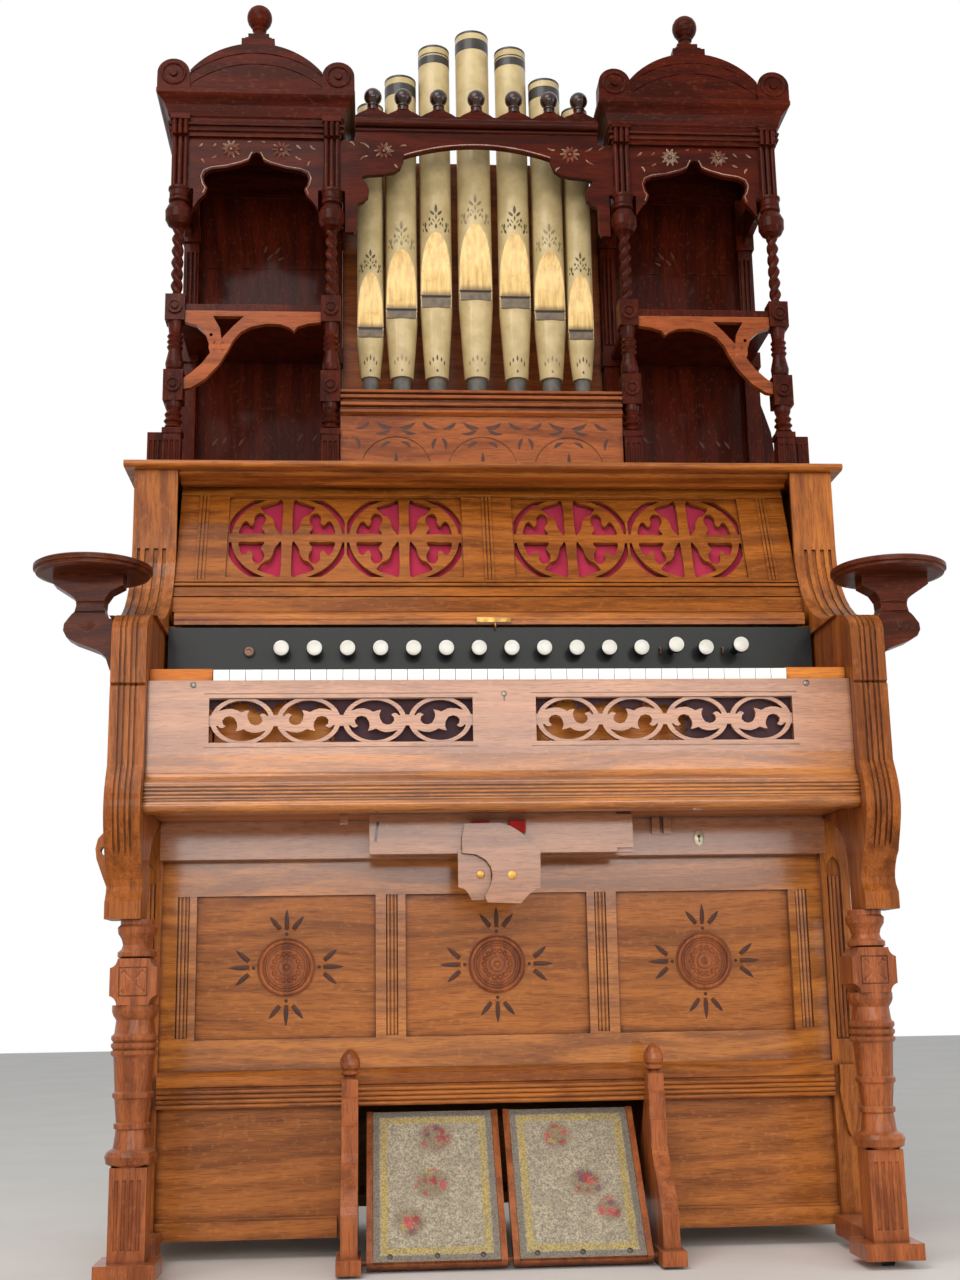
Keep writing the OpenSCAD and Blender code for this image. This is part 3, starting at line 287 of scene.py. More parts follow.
    def make_dust(self) -> bpy.types.NodeTree:
        """Returns thin dust that lies on what faces up.

        Returns:
            The node group.
        """
        bench, given, leave = self.group(
            "settled dust", {"Color": "Color", "Dust": "Color", "Amount": "Float"},
            {"Color": "Color", "Mask": "Float"},
        )
        up = bench.put("SeparateXYZ", {0: bench.put("NewGeometry").outputs["Normal"]}).outputs[2]
        uneven = bench.between(bench.noise(bench.place(), 16.0, 4.0), 0.3, 0.7)
        mask = bench.maths("MULTIPLY", bench.between(up, 0.5, 0.95), uneven)
        mask = bench.maths("MULTIPLY", mask, given["Amount"])
        bench.fill(leave, {"Color": bench.mix(mask, given["Color"], given["Dust"]), "Mask": mask})
        return bench.tree


EFFECTS = EffectKit()


@dataclass(frozen=True)
class Finish:
    """A finish that makes its material once and hands out the same one after that."""

    name: str

    def material(self) -> bpy.types.Material:
        """Returns the finish's material, made on first use.

        Returns:
            The material.
        """
        known = bpy.data.materials.get(self.name)
        if known:
            return known
        made = bpy.data.materials.new(self.name)
        made.use_nodes = True
        made.node_tree.nodes.clear()
        bench = Bench(made.node_tree)
        shader = bench.put("BsdfPrincipled")
        bench.put("OutputMaterial", {"Surface": shader.outputs[0]})
        bench.fill(shader, self.lay(bench))
        return made

    def lay(self, bench: Bench) -> dict[str, object]:
        """Lays the finish's nodes and returns what goes into the shader, by input."""
        raise NotImplementedError


@dataclass(frozen=True)
class VarnishedWood(Finish):
    """Quarter-sawn wood under gloss varnish, rubbed at the edges and darkened in the corners by old wax and
    painted shade.
    """

    dark: Tint = (104, 47, 14)
    light: Tint = (203, 120, 46)
    edge: Tint = (233, 156, 81)
    run: Run = Run.ACROSS
    rays: float = 0.14
    streaks: float = 0.55
    gloss: float = 0.0
    coat: float = 0.25
    rub: float = 0.5
    stipple: float = 0.0
    shine: float = 0.15

    def lay(self, bench: Bench) -> dict[str, object]:
        """Joins grain, wear with painted shade in the hollows, and dust, and returns what goes into the
        shader.

        Args:
            bench: The bench on the material's nodes.

        Returns:
            Values and sockets for the shader's inputs, by name.
        """
        grain = bench.shared(
            EFFECTS.grain, Stretch=self.run.value, Dark=shade(*self.dark), Light=shade(*self.light),
            Rays=self.rays, Streaks=self.streaks,
        )
        # The wax colour darkens the hollows: old wax and painted shade.
        wear_and_shade = bench.shared(
            EFFECTS.wear_and_shade, Color=grain["Color"], Edge=shade(*self.edge), Wax=shade(88, 45, 25), Rub=self.rub,
            Fill=0.85,
        )
        dust = bench.shared(EFFECTS.dust, Color=wear_and_shade["Color"], Dust=shade(179, 158, 133), Amount=0.16)
        rough = bench.maths("ADD", grain["Roughness"], 0.1 + self.gloss)
        height = grain["Height"]
        if self.stipple:
            punch = {"Vector": bench.place(), "Scale": 300.0, "Randomness": 0.8}
            cells = bench.put("TexVoronoi", punch).outputs["Distance"]
            height = bench.maths("MULTIPLY_ADD", bench.between(cells, 0.1, 0.6), self.stipple * 6, height)
        return {
            "Base Color": dust["Color"],
            "Roughness": bench.maths("MULTIPLY_ADD", dust["Mask"], 1.2, rough),
            "Normal": bench.bump(0.5, 0.00012, height, wear_and_shade["Normal"]),
            "Coat Weight": self.coat,
            "Coat Roughness": 0.13,
            "Specular IOR Level": self.shine,
        }


@dataclass(frozen=True)
class Lacquer(Finish):
    """Painted, lacquered or stained surface with faint brushing, rubbed edges and painted shade in its
    hollows.
    """

    colour: Tint
    other: Tint
    edge: Tint = (108, 95, 84)
    rough: float = 0.3
    coat: float = 0.3
    metal: float = 0.0
    rub: float = 0.5
    scale: float = 60.0
    # How strongly the hollows are darkened by old wax and painted shade.
    fill: float = 0.7
    shine: float = 0.4

    def lay(self, bench: Bench) -> dict[str, object]:
        """Joins mottling, wear and painted shade in the hollows, and returns what goes into the shader.

        Args:
            bench: The bench on the material's nodes.

        Returns:
            Values and sockets for the shader's inputs, by name.
        """
        mottle = bench.noise(bench.place(), self.scale, 4.0, 0.6)
        colour = bench.mix(bench.between(mottle, 0.35, 0.65), shade(*self.colour), shade(*self.other))
        # The wax colour darkens the hollows: old wax and painted shade.
        wear_and_shade = bench.shared(
            EFFECTS.wear_and_shade, Color=colour, Edge=shade(*self.edge), Wax=shade(68, 54, 43), Rub=self.rub,
            Fill=self.fill,
        )
        return {
            "Base Color": wear_and_shade["Color"],
            "Roughness": bench.maths("MULTIPLY_ADD", mottle, 0.24, self.rough - 0.1),
            "Normal": bench.bump(0.5, 0.00008, mottle, wear_and_shade["Normal"]),
            "Metallic": self.metal,
            "Specular IOR Level": self.shine,
            "Coat Weight": self.coat,
            "Coat Roughness": 0.12,
        }


@dataclass(frozen=True)
class WovenCloth(Finish):
    """Thin woven cloth that has faded and stained a little."""

    low: Tint
    high: Tint
    threads: float = 160.0

    def lay(self, bench: Bench) -> dict[str, object]:
        """Fades the weave, with its painted shade between threads, in patches and returns what goes into the
        shader.

        Args:
            bench: The bench on the material's nodes.

        Returns:
            Values and sockets for the shader's inputs, by name.
        """
        high = shade(*self.high)
        # The low colour is the painted shade in the gaps between threads.
        weave = bench.shared(EFFECTS.weave, Threads=self.threads, Low=shade(*self.low), High=high)
        faded = bench.between(bench.noise(bench.place(), 14.0, 3.0), 0.35, 0.75)
        return {
            "Base Color": bench.mix(bench.maths("MULTIPLY", faded, 0.35), weave["Color"], high),
            "Roughness": bench.maths("MULTIPLY_ADD", faded, 0.1, 0.82),
            "Normal": bench.bump(0.7, 0.0004, weave["Height"]),
            "Sheen Weight": 0.35,
            "Sheen Roughness": 0.4,
        }


@dataclass(frozen=True)
class FlowerCarpet(Finish):
    """Worn pile carpet: a cream field with flower clusters inside a yellow border."""

    clusters: tuple[tuple[float, float, float], ...]
    seed: float = 0.0
    width: float = 178.0
    length: float = 246.0

    @staticmethod
    def ground(bench: Bench, speck: Socket, worn: Socket) -> Socket:
        """Returns the speckled cream ground, greyer where it is worn."""
        ground = bench.mix(bench.between(speck, 0.46, 0.62), shade(206, 193, 164), shade(160, 152, 136))
        return bench.mix(bench.maths("MULTIPLY", worn, 0.6), ground, shade(169, 158, 138))

    @staticmethod
    def petals(bench: Bench, place: Socket) -> Socket:
        """Returns frayed petals in crimson, pink, plum and yellow.

        Args:
            bench: The bench on the material's tree.
            place: Coordinates in millimetres on the carpet.

        Returns:
            The petals' colour all over the carpet.
        """
        frayed = bench.noise(place, 0.12, out=1)
        spread = bench.vector("MULTIPLY_ADD", frayed, (16.0, 16.0, 0.0), place)
        petal = bench.put("TexVoronoi", {"Vector": spread, "Scale": 0.074, "Randomness": 0.8}).outputs
        hue = bench.put("SeparateColor", {0: petal["Color"]}).outputs[0]
        flower = bench.mix(bench.between(hue, 0.2, 0.32), shade(176, 52, 58), shade(212, 96, 92))
        flower = bench.mix(bench.between(hue, 0.5, 0.6), flower, shade(128, 78, 96))
        flower = bench.mix(bench.between(hue, 0.78, 0.84), flower, shade(196, 164, 96))
        heart = bench.between(petal["Distance"], 0.1, 0.3, 0.45, 0.0)
        flower = bench.mix(heart, flower, shade(150, 40, 52))
        return bench.mix(bench.between(petal["Distance"], 0.4, 0.62), flower, shade(158, 140, 112))

    def border(self, bench: Bench, flat: Socket, colour: Socket, speck: Socket, worn: Socket) -> Socket:
        """Lays the yellow border and the grey edge.

        Args:
            bench: The bench on the material's tree.
            flat: The cut's own coordinates from 0 to 1.
            colour: The colour under the border.
            speck: The ground's speckle.
            worn: Where the pile is worn.

        Returns:
            The colour with the border on it.
        """
        parts = bench.put("SeparateXYZ", {0: flat}).outputs
        rims = []
        for axis, size in ((0, self.width), (1, self.length)):
            away = bench.maths("ABSOLUTE", bench.maths("SUBTRACT", parts[axis], 0.5))
            rims.append(bench.maths("SUBTRACT", size / 2, bench.maths("MULTIPLY", away, size)))
        rim = bench.maths("MULTIPLY_ADD", speck, 3.0, bench.maths("MINIMUM", *rims))
        yellow = bench.maths("MULTIPLY", bench.between(rim, 12, 13), bench.between(rim, 22, 23.5, 1.0, 0.0))
        thin = bench.maths("MULTIPLY_ADD", worn, -0.25, 0.78)
        colour = bench.mix(bench.maths("MULTIPLY", yellow, thin), colour, shade(206, 178, 88))
        dark = bench.maths("MULTIPLY", bench.between(rim, 10, 12, 1.0, 0.0), 0.8)
        return bench.mix(dark, colour, shade(128, 120, 110))

    def lay(self, bench: Bench) -> dict[str, object]:
        """Joins field, flowers, border and pile, with painted shade deep in the pile, and returns what goes
        into the shader.

        Args:
            bench: The bench on the material's nodes.

        Returns:
            Values and sockets for the shader's inputs, by name.
        """
        flat = bench.place("UV")
        place = bench.vector("MULTIPLY", flat, (self.width, self.length, 1.0))
        shifted = bench.vector("ADD", place, (self.seed, self.seed, 0.0))
        speck = bench.noise(shifted, 0.16, 3.0, 0.7)
        worn = bench.between(bench.noise(shifted, 0.035, 3.0, 0.6), 0.38, 0.62)
        mask: Socket | float = 0.0
        for x, y, radius in self.clusters:
            away = bench.vector("DISTANCE", place, (x, y, 0.0), result="Value")
            ragged = bench.maths("MULTIPLY_ADD", speck, 26.0, away)
            near = bench.between(ragged, radius + 2, radius + 16, 0.92, 0.0)
            mask = bench.maths("MAXIMUM", mask, near)
        colour = bench.mix(mask, self.ground(bench, speck, worn), self.petals(bench, shifted))
        colour = self.border(bench, flat, colour, speck, worn)
        tuft = bench.put("TexVoronoi", {"Vector": shifted, "Scale": 0.42}).outputs["Distance"]
        pile = bench.maths("SUBTRACT", 1.0, tuft)
        # Painted shade: the pile darkens towards its deep parts between the tufts.
        deep = bench.maths("MULTIPLY", bench.between(pile, 0.2, 0.8, 1.0, 0.0), 0.5)
        return {
            "Base Color": bench.mix(deep, colour, shade(79, 68, 56)),
            "Roughness": bench.maths("MULTIPLY_ADD", worn, 0.08, 0.88),
            "Normal": bench.bump(0.8, 0.0012, bench.maths("ADD", pile, speck)),
            "Sheen Weight": 0.2,
        }


@dataclass(frozen=True)
class Gilding(Finish):
    """Bronze leaf that has streaked, with a brown outline and a brown lower edge."""

    pale: Tint = (227, 192, 122)
    streak: Tint = (188, 150, 90)
    brown: Tint = (104, 79, 50)

    def lay(self, bench: Bench) -> dict[str, object]:
        """Joins streaks, outline, wear and painted shade in the hollows, and returns what goes into the
        shader.

        Args:
            bench: The bench on the material's nodes.

        Returns:
            Values and sockets for the shader's inputs, by name.
        """
        place = bench.place()
        parts = bench.put("SeparateXYZ", {0: bench.place("UV")}).outputs
        streak = bench.noise(bench.vector("MULTIPLY", place, (170.0, 170.0, 14.0)), 1.0, 4.0, 0.6)
        colour = bench.mix(bench.between(streak, 0.28, 0.66), shade(*self.streak), shade(*self.pale))
        blot = bench.maths("MULTIPLY", bench.between(bench.noise(place, 60.0, 3.0), 0.56, 0.7), 0.45)
        colour = bench.mix(blot, colour, shade(181, 133, 79))
        low = bench.between(bench.maths("MULTIPLY_ADD", streak, 0.07, parts[1]), 0.03, 0.15, 0.85, 0.0)
        across = bench.maths("ABSOLUTE", bench.maths("MULTIPLY_ADD", parts[0], 2.0, -1.0))
        rim = bench.between(across, 0.95, 0.985, 0.0, 0.6)
        colour = bench.mix(bench.maths("MAXIMUM", low, rim), colour, shade(*self.brown))
        # The brown colour darkens the hollows as painted shade.
        wear_and_shade = bench.shared(
            EFFECTS.wear_and_shade, Color=colour, Edge=shade(*self.pale), Wax=shade(*self.brown), Rub=0.2, Fill=0.5
        )
        return {
            "Base Color": wear_and_shade["Color"],
            "Roughness": bench.maths("MULTIPLY_ADD", streak, 0.3, 0.24),
            "Normal": bench.bump(0.4, 0.0001, streak, wear_and_shade["Normal"]),
            "Metallic": 0.25,
            "Coat Weight": 0.2,
        }


OAK = VarnishedWood("oak_across")
OAK_RAIL = VarnishedWood("oak_rail", (112, 56, 20), (218, 136, 56), coat=1.0)
OAK_DESK = VarnishedWood("oak_desk", (94, 44, 12), (184, 106, 38), coat=0.1, shine=0.08)
OAK_UP = VarnishedWood("oak_upright", run=Run.UPRIGHT)
OAK_CHEEK = VarnishedWood("oak_cheek", (100, 48, 18), (186, 106, 44), run=Run.UPRIGHT, coat=0.12, shine=0.1)
OAK_PANEL = VarnishedWood("oak_panel", (116, 62, 26), (200, 122, 56), rays=0.22, streaks=0.6)
OAK_SLIP = VarnishedWood("oak_slip", (138, 86, 58), (204, 142, 102), coat=1.0, streaks=0.5)
OAK_RED = VarnishedWood("oak_turned", (106, 50, 24), (188, 106, 56), run=Run.UPRIGHT, rays=0.15)
TOP_TINTS = ((38, 9, 4), (90, 28, 10), (170, 84, 42))
TOP = VarnishedWood("top_across", *TOP_TINTS, rays=0.1, rub=0.7, coat=0.05, shine=0.05)
TOP_UP = VarnishedWood("top_upright", *TOP_TINTS, Run.UPRIGHT, rays=0.1, rub=0.75, coat=0.12, shine=0.05)
TOP_CARVED = VarnishedWood("top_carved", *TOP_TINTS, rays=0.0, stipple=0.35, rub=0.8, coat=0.1, shine=0.05)
RACK = VarnishedWood("rack_front", (104, 45, 16), (179, 99, 45), (240, 169, 104), rays=0.1, rub=0.7)
# Painted highlights: the near-white edge colour, rubbed onto every edge, stands for glints on the carving.
RELIEF_PAINTED_HIGHLIGHTS = VarnishedWood(
    "carved_relief_painted_highlights", (95, 38, 18), (158, 75, 38), (240, 235, 201), rays=0.0, rub=1.0, coat=1.0
)
BRACKET = VarnishedWood("bracket", (108, 47, 18), (176, 90, 41), rays=0.1, coat=0.12)
LAMP_TOP = VarnishedWood("lamp_shelf", (52, 20, 10), (104, 44, 22), rays=0.1, coat=0.1, shine=0.08)
PINE = VarnishedWood("pine", (199, 104, 34), (240, 163, 72), rays=0.0, coat=0.1, gloss=0.2, rub=0.2)
PLAIN_PINE = VarnishedWood("plain_pine", (136, 95, 59), (194, 149, 99), rays=0.0, coat=0.0, gloss=0.35)
EBONY = Lacquer("ebonised", (18, 20, 19), (29, 32, 31), rough=0.4, coat=0.1, scale=24.0, shine=0.2)
BALLS = Lacquer("dark_balls", (34, 16, 11), (54, 25, 17), (124, 68, 45), rough=0.22, coat=0.5, shine=0.2)
# Painted shade: fill darkens the ivory strongly in the gaps between the keys.
IVORY = Lacquer("ivory", (198, 193, 183), (189, 183, 171), (210, 206, 197), fill=0.95)
PORCELAIN = Lacquer("porcelain", (226, 223, 215), (216, 211, 200), (234, 232, 226), rough=0.24, coat=0.4)
PIPE_CREAM = Lacquer(
    "pipe_cream", (203, 181, 133), (185, 163, 115), (221, 203, 165), rough=0.42, coat=0.15, scale=30.0
)
PIPE_GOLD = Gilding("mouth_gold")
PIPE_DARK = Lacquer("stencil_dark", (70, 59, 41), (90, 77, 54), rough=0.5, coat=0.05, rub=0.2)
# Black paint of the pipes' bands and rims, and painted shade for the mouth slots and the keyhole.
BLACK_PAINT_AND_SHADE = Lacquer("black_bands_and_painted_shade", (34, 32, 29), (52, 47, 43), rough=0.42, coat=0.2)
PIPE_WORN = Lacquer("stencil_worn", (127, 113, 86), (154, 138, 104), rough=0.5, coat=0.05, rub=0.2)
PIPE_LIP = Lacquer("lip_grey", (95, 84, 70), (122, 104, 84), rough=0.5, coat=0.05, scale=90.0)
PIPE_TOE = Lacquer("toe_grey", (81, 79, 75), (104, 99, 90), rough=0.5, coat=0.05)
BRASS = Lacquer("old_brass", (190, 145, 70), (136, 97, 45), (240, 215, 131), metal=0.9, rough=0.36)
COPPER = Lacquer("dull_copper", (136, 92, 66), (100, 62, 44), (186, 140, 100), metal=0.5, rough=0.45)
STEEL = Lacquer("dull_steel", (145, 140, 133), (108, 104, 97), (215, 212, 208), metal=0.85, rough=0.4)
NICKEL = Lacquer("nickel", (233, 224, 201), (199, 188, 160), (240, 240, 240), metal=0.7, rough=0.32)
IRON = Lacquer("caster_iron", (66, 59, 54), (90, 79, 70), (147, 133, 120), metal=0.6, rough=0.5)
FELT = Lacquer("red_felt", (169, 27, 29), (206, 45, 43), (215, 68, 61), rough=0.9, coat=0.0)
# Painted shade: dark leaves laid on the wood stand for the shade inside carved gouges.
GOUGE_SHADE = Lacquer("painted_gouge_shade", (60, 27, 15), (84, 41, 23), rough=0.6, coat=0.1, rub=0.0)
FLOOR = Lacquer(
    "pale_floor", (226, 224, 220), (232, 230, 226), rough=0.7, coat=0.0, rub=0.0, fill=0.0, scale=3.0
)
DESK_CLOTH = WovenCloth("crimson_cloth", (145, 11, 45), (224, 38, 88))
SLIP_CLOTH = WovenCloth("faded_purple_cloth", (59, 38, 47), (104, 70, 79), threads=190.0)
CARPETS = {
    Side.LEFT: FlowerCarpet("carpet_left", ((92, 200, 27), (84, 122, 27), (52, 62, 24))),
    Side.RIGHT: FlowerCarpet("carpet_right", ((68, 200, 24), (104, 118, 26), (134, 74, 22)), seed=37.0),
}


class Mesher:
    """Builds one mesh out of turned, cut, carved and swept forms."""

    def __init__(self, name: str) -> None:
        """Starts an empty mesh of the given name."""
        self.name = name
        self.bm = bmesh.new()

    def loft(self, rings: Sequence[Sequence[Vector]], closed: bool = True, caps: bool = True) -> None:
        """Joins rings of points by quads.

        Args:
            rings: The rings, all of one length.
            closed: Whether each ring runs back to its start.
            caps: Whether the first and last ring are filled.
        """
        rows = [[self.bm.verts.new(p) for p in ring] for ring in rings]
        count = len(rows[0])
        for low, high in zip(rows, rows[1:]):
            for i in range(count if closed else count - 1):
                j = (i + 1) % count
                self.bm.faces.new((low[i], low[j], high[j], high[i]))
        if caps and closed:
            self.bm.faces.new(list(reversed(rows[0])))
            self.bm.faces.new(rows[-1])

    def turned(
        self, foot: Vector, axis: Vector, profile: Sequence[tuple[float, float]], segments: int = 24
    ) -> None:
        """Adds a turned form.

        Args:
            foot: Where the profile's height is zero, in metres.
            axis: The direction in which heights grow.
            profile: Heights and radii in millimetres.
            segments: Sides of each ring.
        """
        axis = axis.normalized()
        side = axis.orthogonal().normalized()
        other = axis.cross(side)
        rings = []
        for height, radius in profile:
            centre, r = foot + axis * height / 1000, max(radius, 0.02) / 1000
            rings.append([centre + (side * math.cos(a) + other * math.sin(a)) * r for a in turns(segments)])
        self.loft(rings)

    def plate(self, outline: Sequence[Vector], thick: Vector, bevel: float = 0.0) -> None:
        """Adds a flat plate with bevelled front edges.

        Args:
            outline: The back outline's corners in metres, anticlockwise seen from the front.
            thick: The plate's thickness as a vector from back to front.
            bevel: How far the front outline draws in, as a share of the distance to the middle.
        """
        middle = sum(outline, Vector()) / len(outline)
        shoulder = [p + thick * 0.6 for p in outline]
        front = [p + thick + (middle - p) * bevel for p in outline]
        self.loft([list(outline), shoulder, front])

    def ring(self, x: float, y: float, z: tuple[float, float], radii: tuple[float, float]) -> None:
        """Adds an upright ring.

        Args:
            x: Its axis across.
            y: Its axis in depth.
            z: Its lower and upper height.
            radii: Its outer and inner radius.
        """
        (low, high), (outer, inner) = z, radii
        section = ((inner, low), (outer, low), (outer, high), (inner, high), (inner, low))
        rows = [[at(x + r * math.sin(a), y - r * math.cos(a), up) for a in turns(40)] for r, up in section]
        self.loft(rows, caps=False)

    def leaf(
        self, root: Vector, tip: Vector, width: float, height: float, bow: float = 0.0, steps: int = 8
    ) -> None:
        """Carves a leaf with a sunk midrib that faces the front.

        Args:
            root: Where the leaf starts, in metres.
            tip: Where it ends.
            width: The leaf's greatest width in millimetres.
            height: How far it stands out, in millimetres.
            bow: Sideways bend as a share of the length.
            steps: Rows along the leaf.
        """
        along = tip - root
        side = along.cross(FRONT).normalized()
        rows = []
        for i in range(steps + 1):
            t = i / steps
            half = width / 2000 * math.sin(math.pi * min(t ** 0.8, 1.0)) ** 0.8 if 0 < i < steps else 0.0001
            centre = root + along * t + side * bow * along.length * math.sin(math.pi * t)
            lift = FRONT * height / 1000 * math.sin(math.pi * (0.12 + 0.8 * t))
            section = ((-1, 0), (-0.55, 1), (0, 0.45), (0.55, 1), (1, 0))
            rows.append([centre + side * half * out + lift * up for out, up in section])
        self.loft(rows, closed=False)

    def leaves(
        self, marks: Iterable[Sequence[float]], origin: Point, way: int, height: float, bow: float = 0.0,
        steps: int = 8,
    ) -> None:
        """Carves leaves beside a point.

        Args:
            marks: Each leaf's root and tip, both across and up from the origin, and its width.
            origin: The bench point.
            way: 1, or -1 where the leaves are mirrored.
            height: How far they stand out.
            bow: Sideways bend as a share of the length.
            steps: Rows along each leaf.
        """
        x, y, z = origin
        for x0, z0, x1, z1, width in marks:
            self.leaf(at(x + way * x0, y, z + z0), at(x + way * x1, y, z + z1), width, height, bow, steps)

    def tube(self, points: Sequence[Vector], radius: float, sides: int = 8) -> None:
        """Sweeps a round rod along points.

        Args:
            points: The rod's middle line, in metres.
            radius: Its radius in millimetres.
            sides: Sides of each ring.
        """
        rings = []
        side: Vector | None = None
        for i, point in enumerate(points):
            ahead = points[min(i + 1, len(points) - 1)] - points[max(i - 1, 0)]
            ahead.normalize()
            side = ahead.orthogonal() if side is None else side - ahead * side.dot(ahead)
            side.normalize()
            other = ahead.cross(side)
            r = radius / 1000
            rings.append([point + (side * math.cos(a) + other * math.sin(a)) * r for a in turns(sides)])
        self.loft(rings)

    def daisy(self, centre: Vector, radius: float) -> None:
        """Carves a daisy that faces the front.

        Args:
            centre: The flower's middle, in metres.
            radius: Its radius in millimetres.
        """
        petals = 10
        for k in range(petals):
            turn = math.tau * (k + 0.5) / petals
            way = Vector((math.sin(turn), 0, math.cos(turn))) / 1000
            self.leaf(centre + way * radius * 0.24, centre + way * radius, radius * 0.42, 3.4, steps=5)
        heart = [(0, radius * 0.2), (1.8, radius * 0.18), (3.2, radius * 0.1), (3.4, 0.2)]
        self.turned(centre, FRONT, heart, 14)

    def screw(self, centre: Vector, radius: float, turn: float = 0.4) -> None:
        """Adds a slotted screw head that faces the front.

        Args:
            centre: The head's middle in metres.
            radius: Its radius in millimetres.
            turn: The slot's turn in radians.
        """
        head = [(0, radius), (0.9, radius), (1.2, radius * 0.86), (1.3, 0.3)]
        self.turned(centre - FRONT * 0.0005, FRONT, head, 20)
        side = FRONT.orthogonal().normalized()
        side.rotate(Matrix.Rotation(turn, 3, FRONT))
        long, short = side * radius * 0.8 / 1000, FRONT.cross(side) * 0.00035
        top = centre + FRONT * 0.0009
        slot = [top + long * a + short * b for a, b in ((-1, -1), (1, -1), (1, 1), (-1, 1))]
        self.plate(slot, FRONT * 0.0001)

    def strip(self, rows: Sequence[Sequence[tuple[Vector, float, float]]]) -> None:
        """Lays a painted strip through rows of places.

        Args:
            rows: Rows of places, each with its two painting coordinates.
        """
        layer = self.bm.loops.layers.uv.new("cut")
        grid = [[(self.bm.verts.new(place), u, v) for place, u, v in row] for row in rows]
        for low, high in zip(grid, grid[1:]):
            for j in range(len(low) - 1):
                four = (low[j], low[j + 1], high[j + 1], high[j])
                quad = self.bm.faces.new([corner[0] for corner in four])
                for loop, corner in zip(quad.loops, four):
                    loop[layer].uv = corner[1:]

    def cut(
        self, counts: tuple[int, int], place: Callable[[float, float], Vector],
        spread: tuple[float, float] = (0.0, 1.0), kept: Callable[[int, int], bool] = lambda i, j: True,
    ) -> None:
        """Lays a cut of cloth as a grid of quads.

        Args:
            counts: Quads across and along the cut.
            place: Gives the place of a point by its shares across and along.
            spread: Start and stretch of the painting coordinate across.
            kept: Tells by column and row whether a quad is still there.
        """
        columns, rows = counts
        layer = self.bm.loops.layers.uv.new("cut")
        shares = [[(i / columns, j / rows) for i in range(columns + 1)] for j in range(rows + 1)]
        grid = [[self.bm.verts.new(place(*share)) for share in line] for line in shares]
        for j in range(rows):
            for i in range(columns):
                if not kept(i, j):
                    continue
                spots = ((i, j), (i + 1, j), (i + 1, j + 1), (i, j + 1))
                quad = self.bm.faces.new([grid[b][a] for a, b in spots])
                for loop, (a, b) in zip(quad.loops, spots):
                    loop[layer].uv = (spread[0] + spread[1] * a / columns, b / rows)
        loose = [v for v in self.bm.verts if not v.link_faces]
        bmesh.ops.delete(self.bm, geom=loose, context="VERTS")

    def done(
        self, finish: Finish, body: str = "case", slot: str | None = None, smooth: bool = True,
        replaces: Sequence[str] = (),
    ) -> bpy.types.Object:
        """Closes the mesh into an object that rides on a body.

        Args:
            finish: The finish it gets.
            body: The body it moves with.
            slot: The record's material slot; not used.
            smooth: Whether its faces are shaded smooth between sharp edges.
            replaces: CAD nodes it stands for.

        Returns:
            The new object.
        """
        bmesh.ops.remove_doubles(self.bm, verts=self.bm.verts, dist=1e-7)
        bmesh.ops.recalc_face_normals(self.bm, faces=self.bm.faces)
        mesh = bpy.data.meshes.new(self.name)
        self.bm.to_mesh(mesh)
        self.bm.free()
        mesh.materials.append(finish.material())
        if smooth:
            mesh.polygons.foreach_set("use_smooth", [True] * len(mesh.polygons))
            mesh.set_sharp_from_angle(angle=math.radians(34))
        made = bpy.data.objects.new(self.name, mesh)
        bpy.context.scene.collection.objects.link(made)
        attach(made, body)
        if replaces:
            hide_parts(*replaces)
        log.info("piece %s: %d faces on %s", self.name, len(mesh.polygons), body)
        return made


class Assembly:
    """A part of the organ that dresses its CAD nodes and builds its own pieces."""

    finishes: ClassVar[dict[str, Finish]] = {}

    def build(self) -> None:
        """Gives each of its CAD nodes its finish; assemblies with pieces of their own add them here."""
        for name, finish in self.finishes.items():
            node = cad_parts[name]
            node.data.materials.clear()
            node.data.materials.append(finish.material())


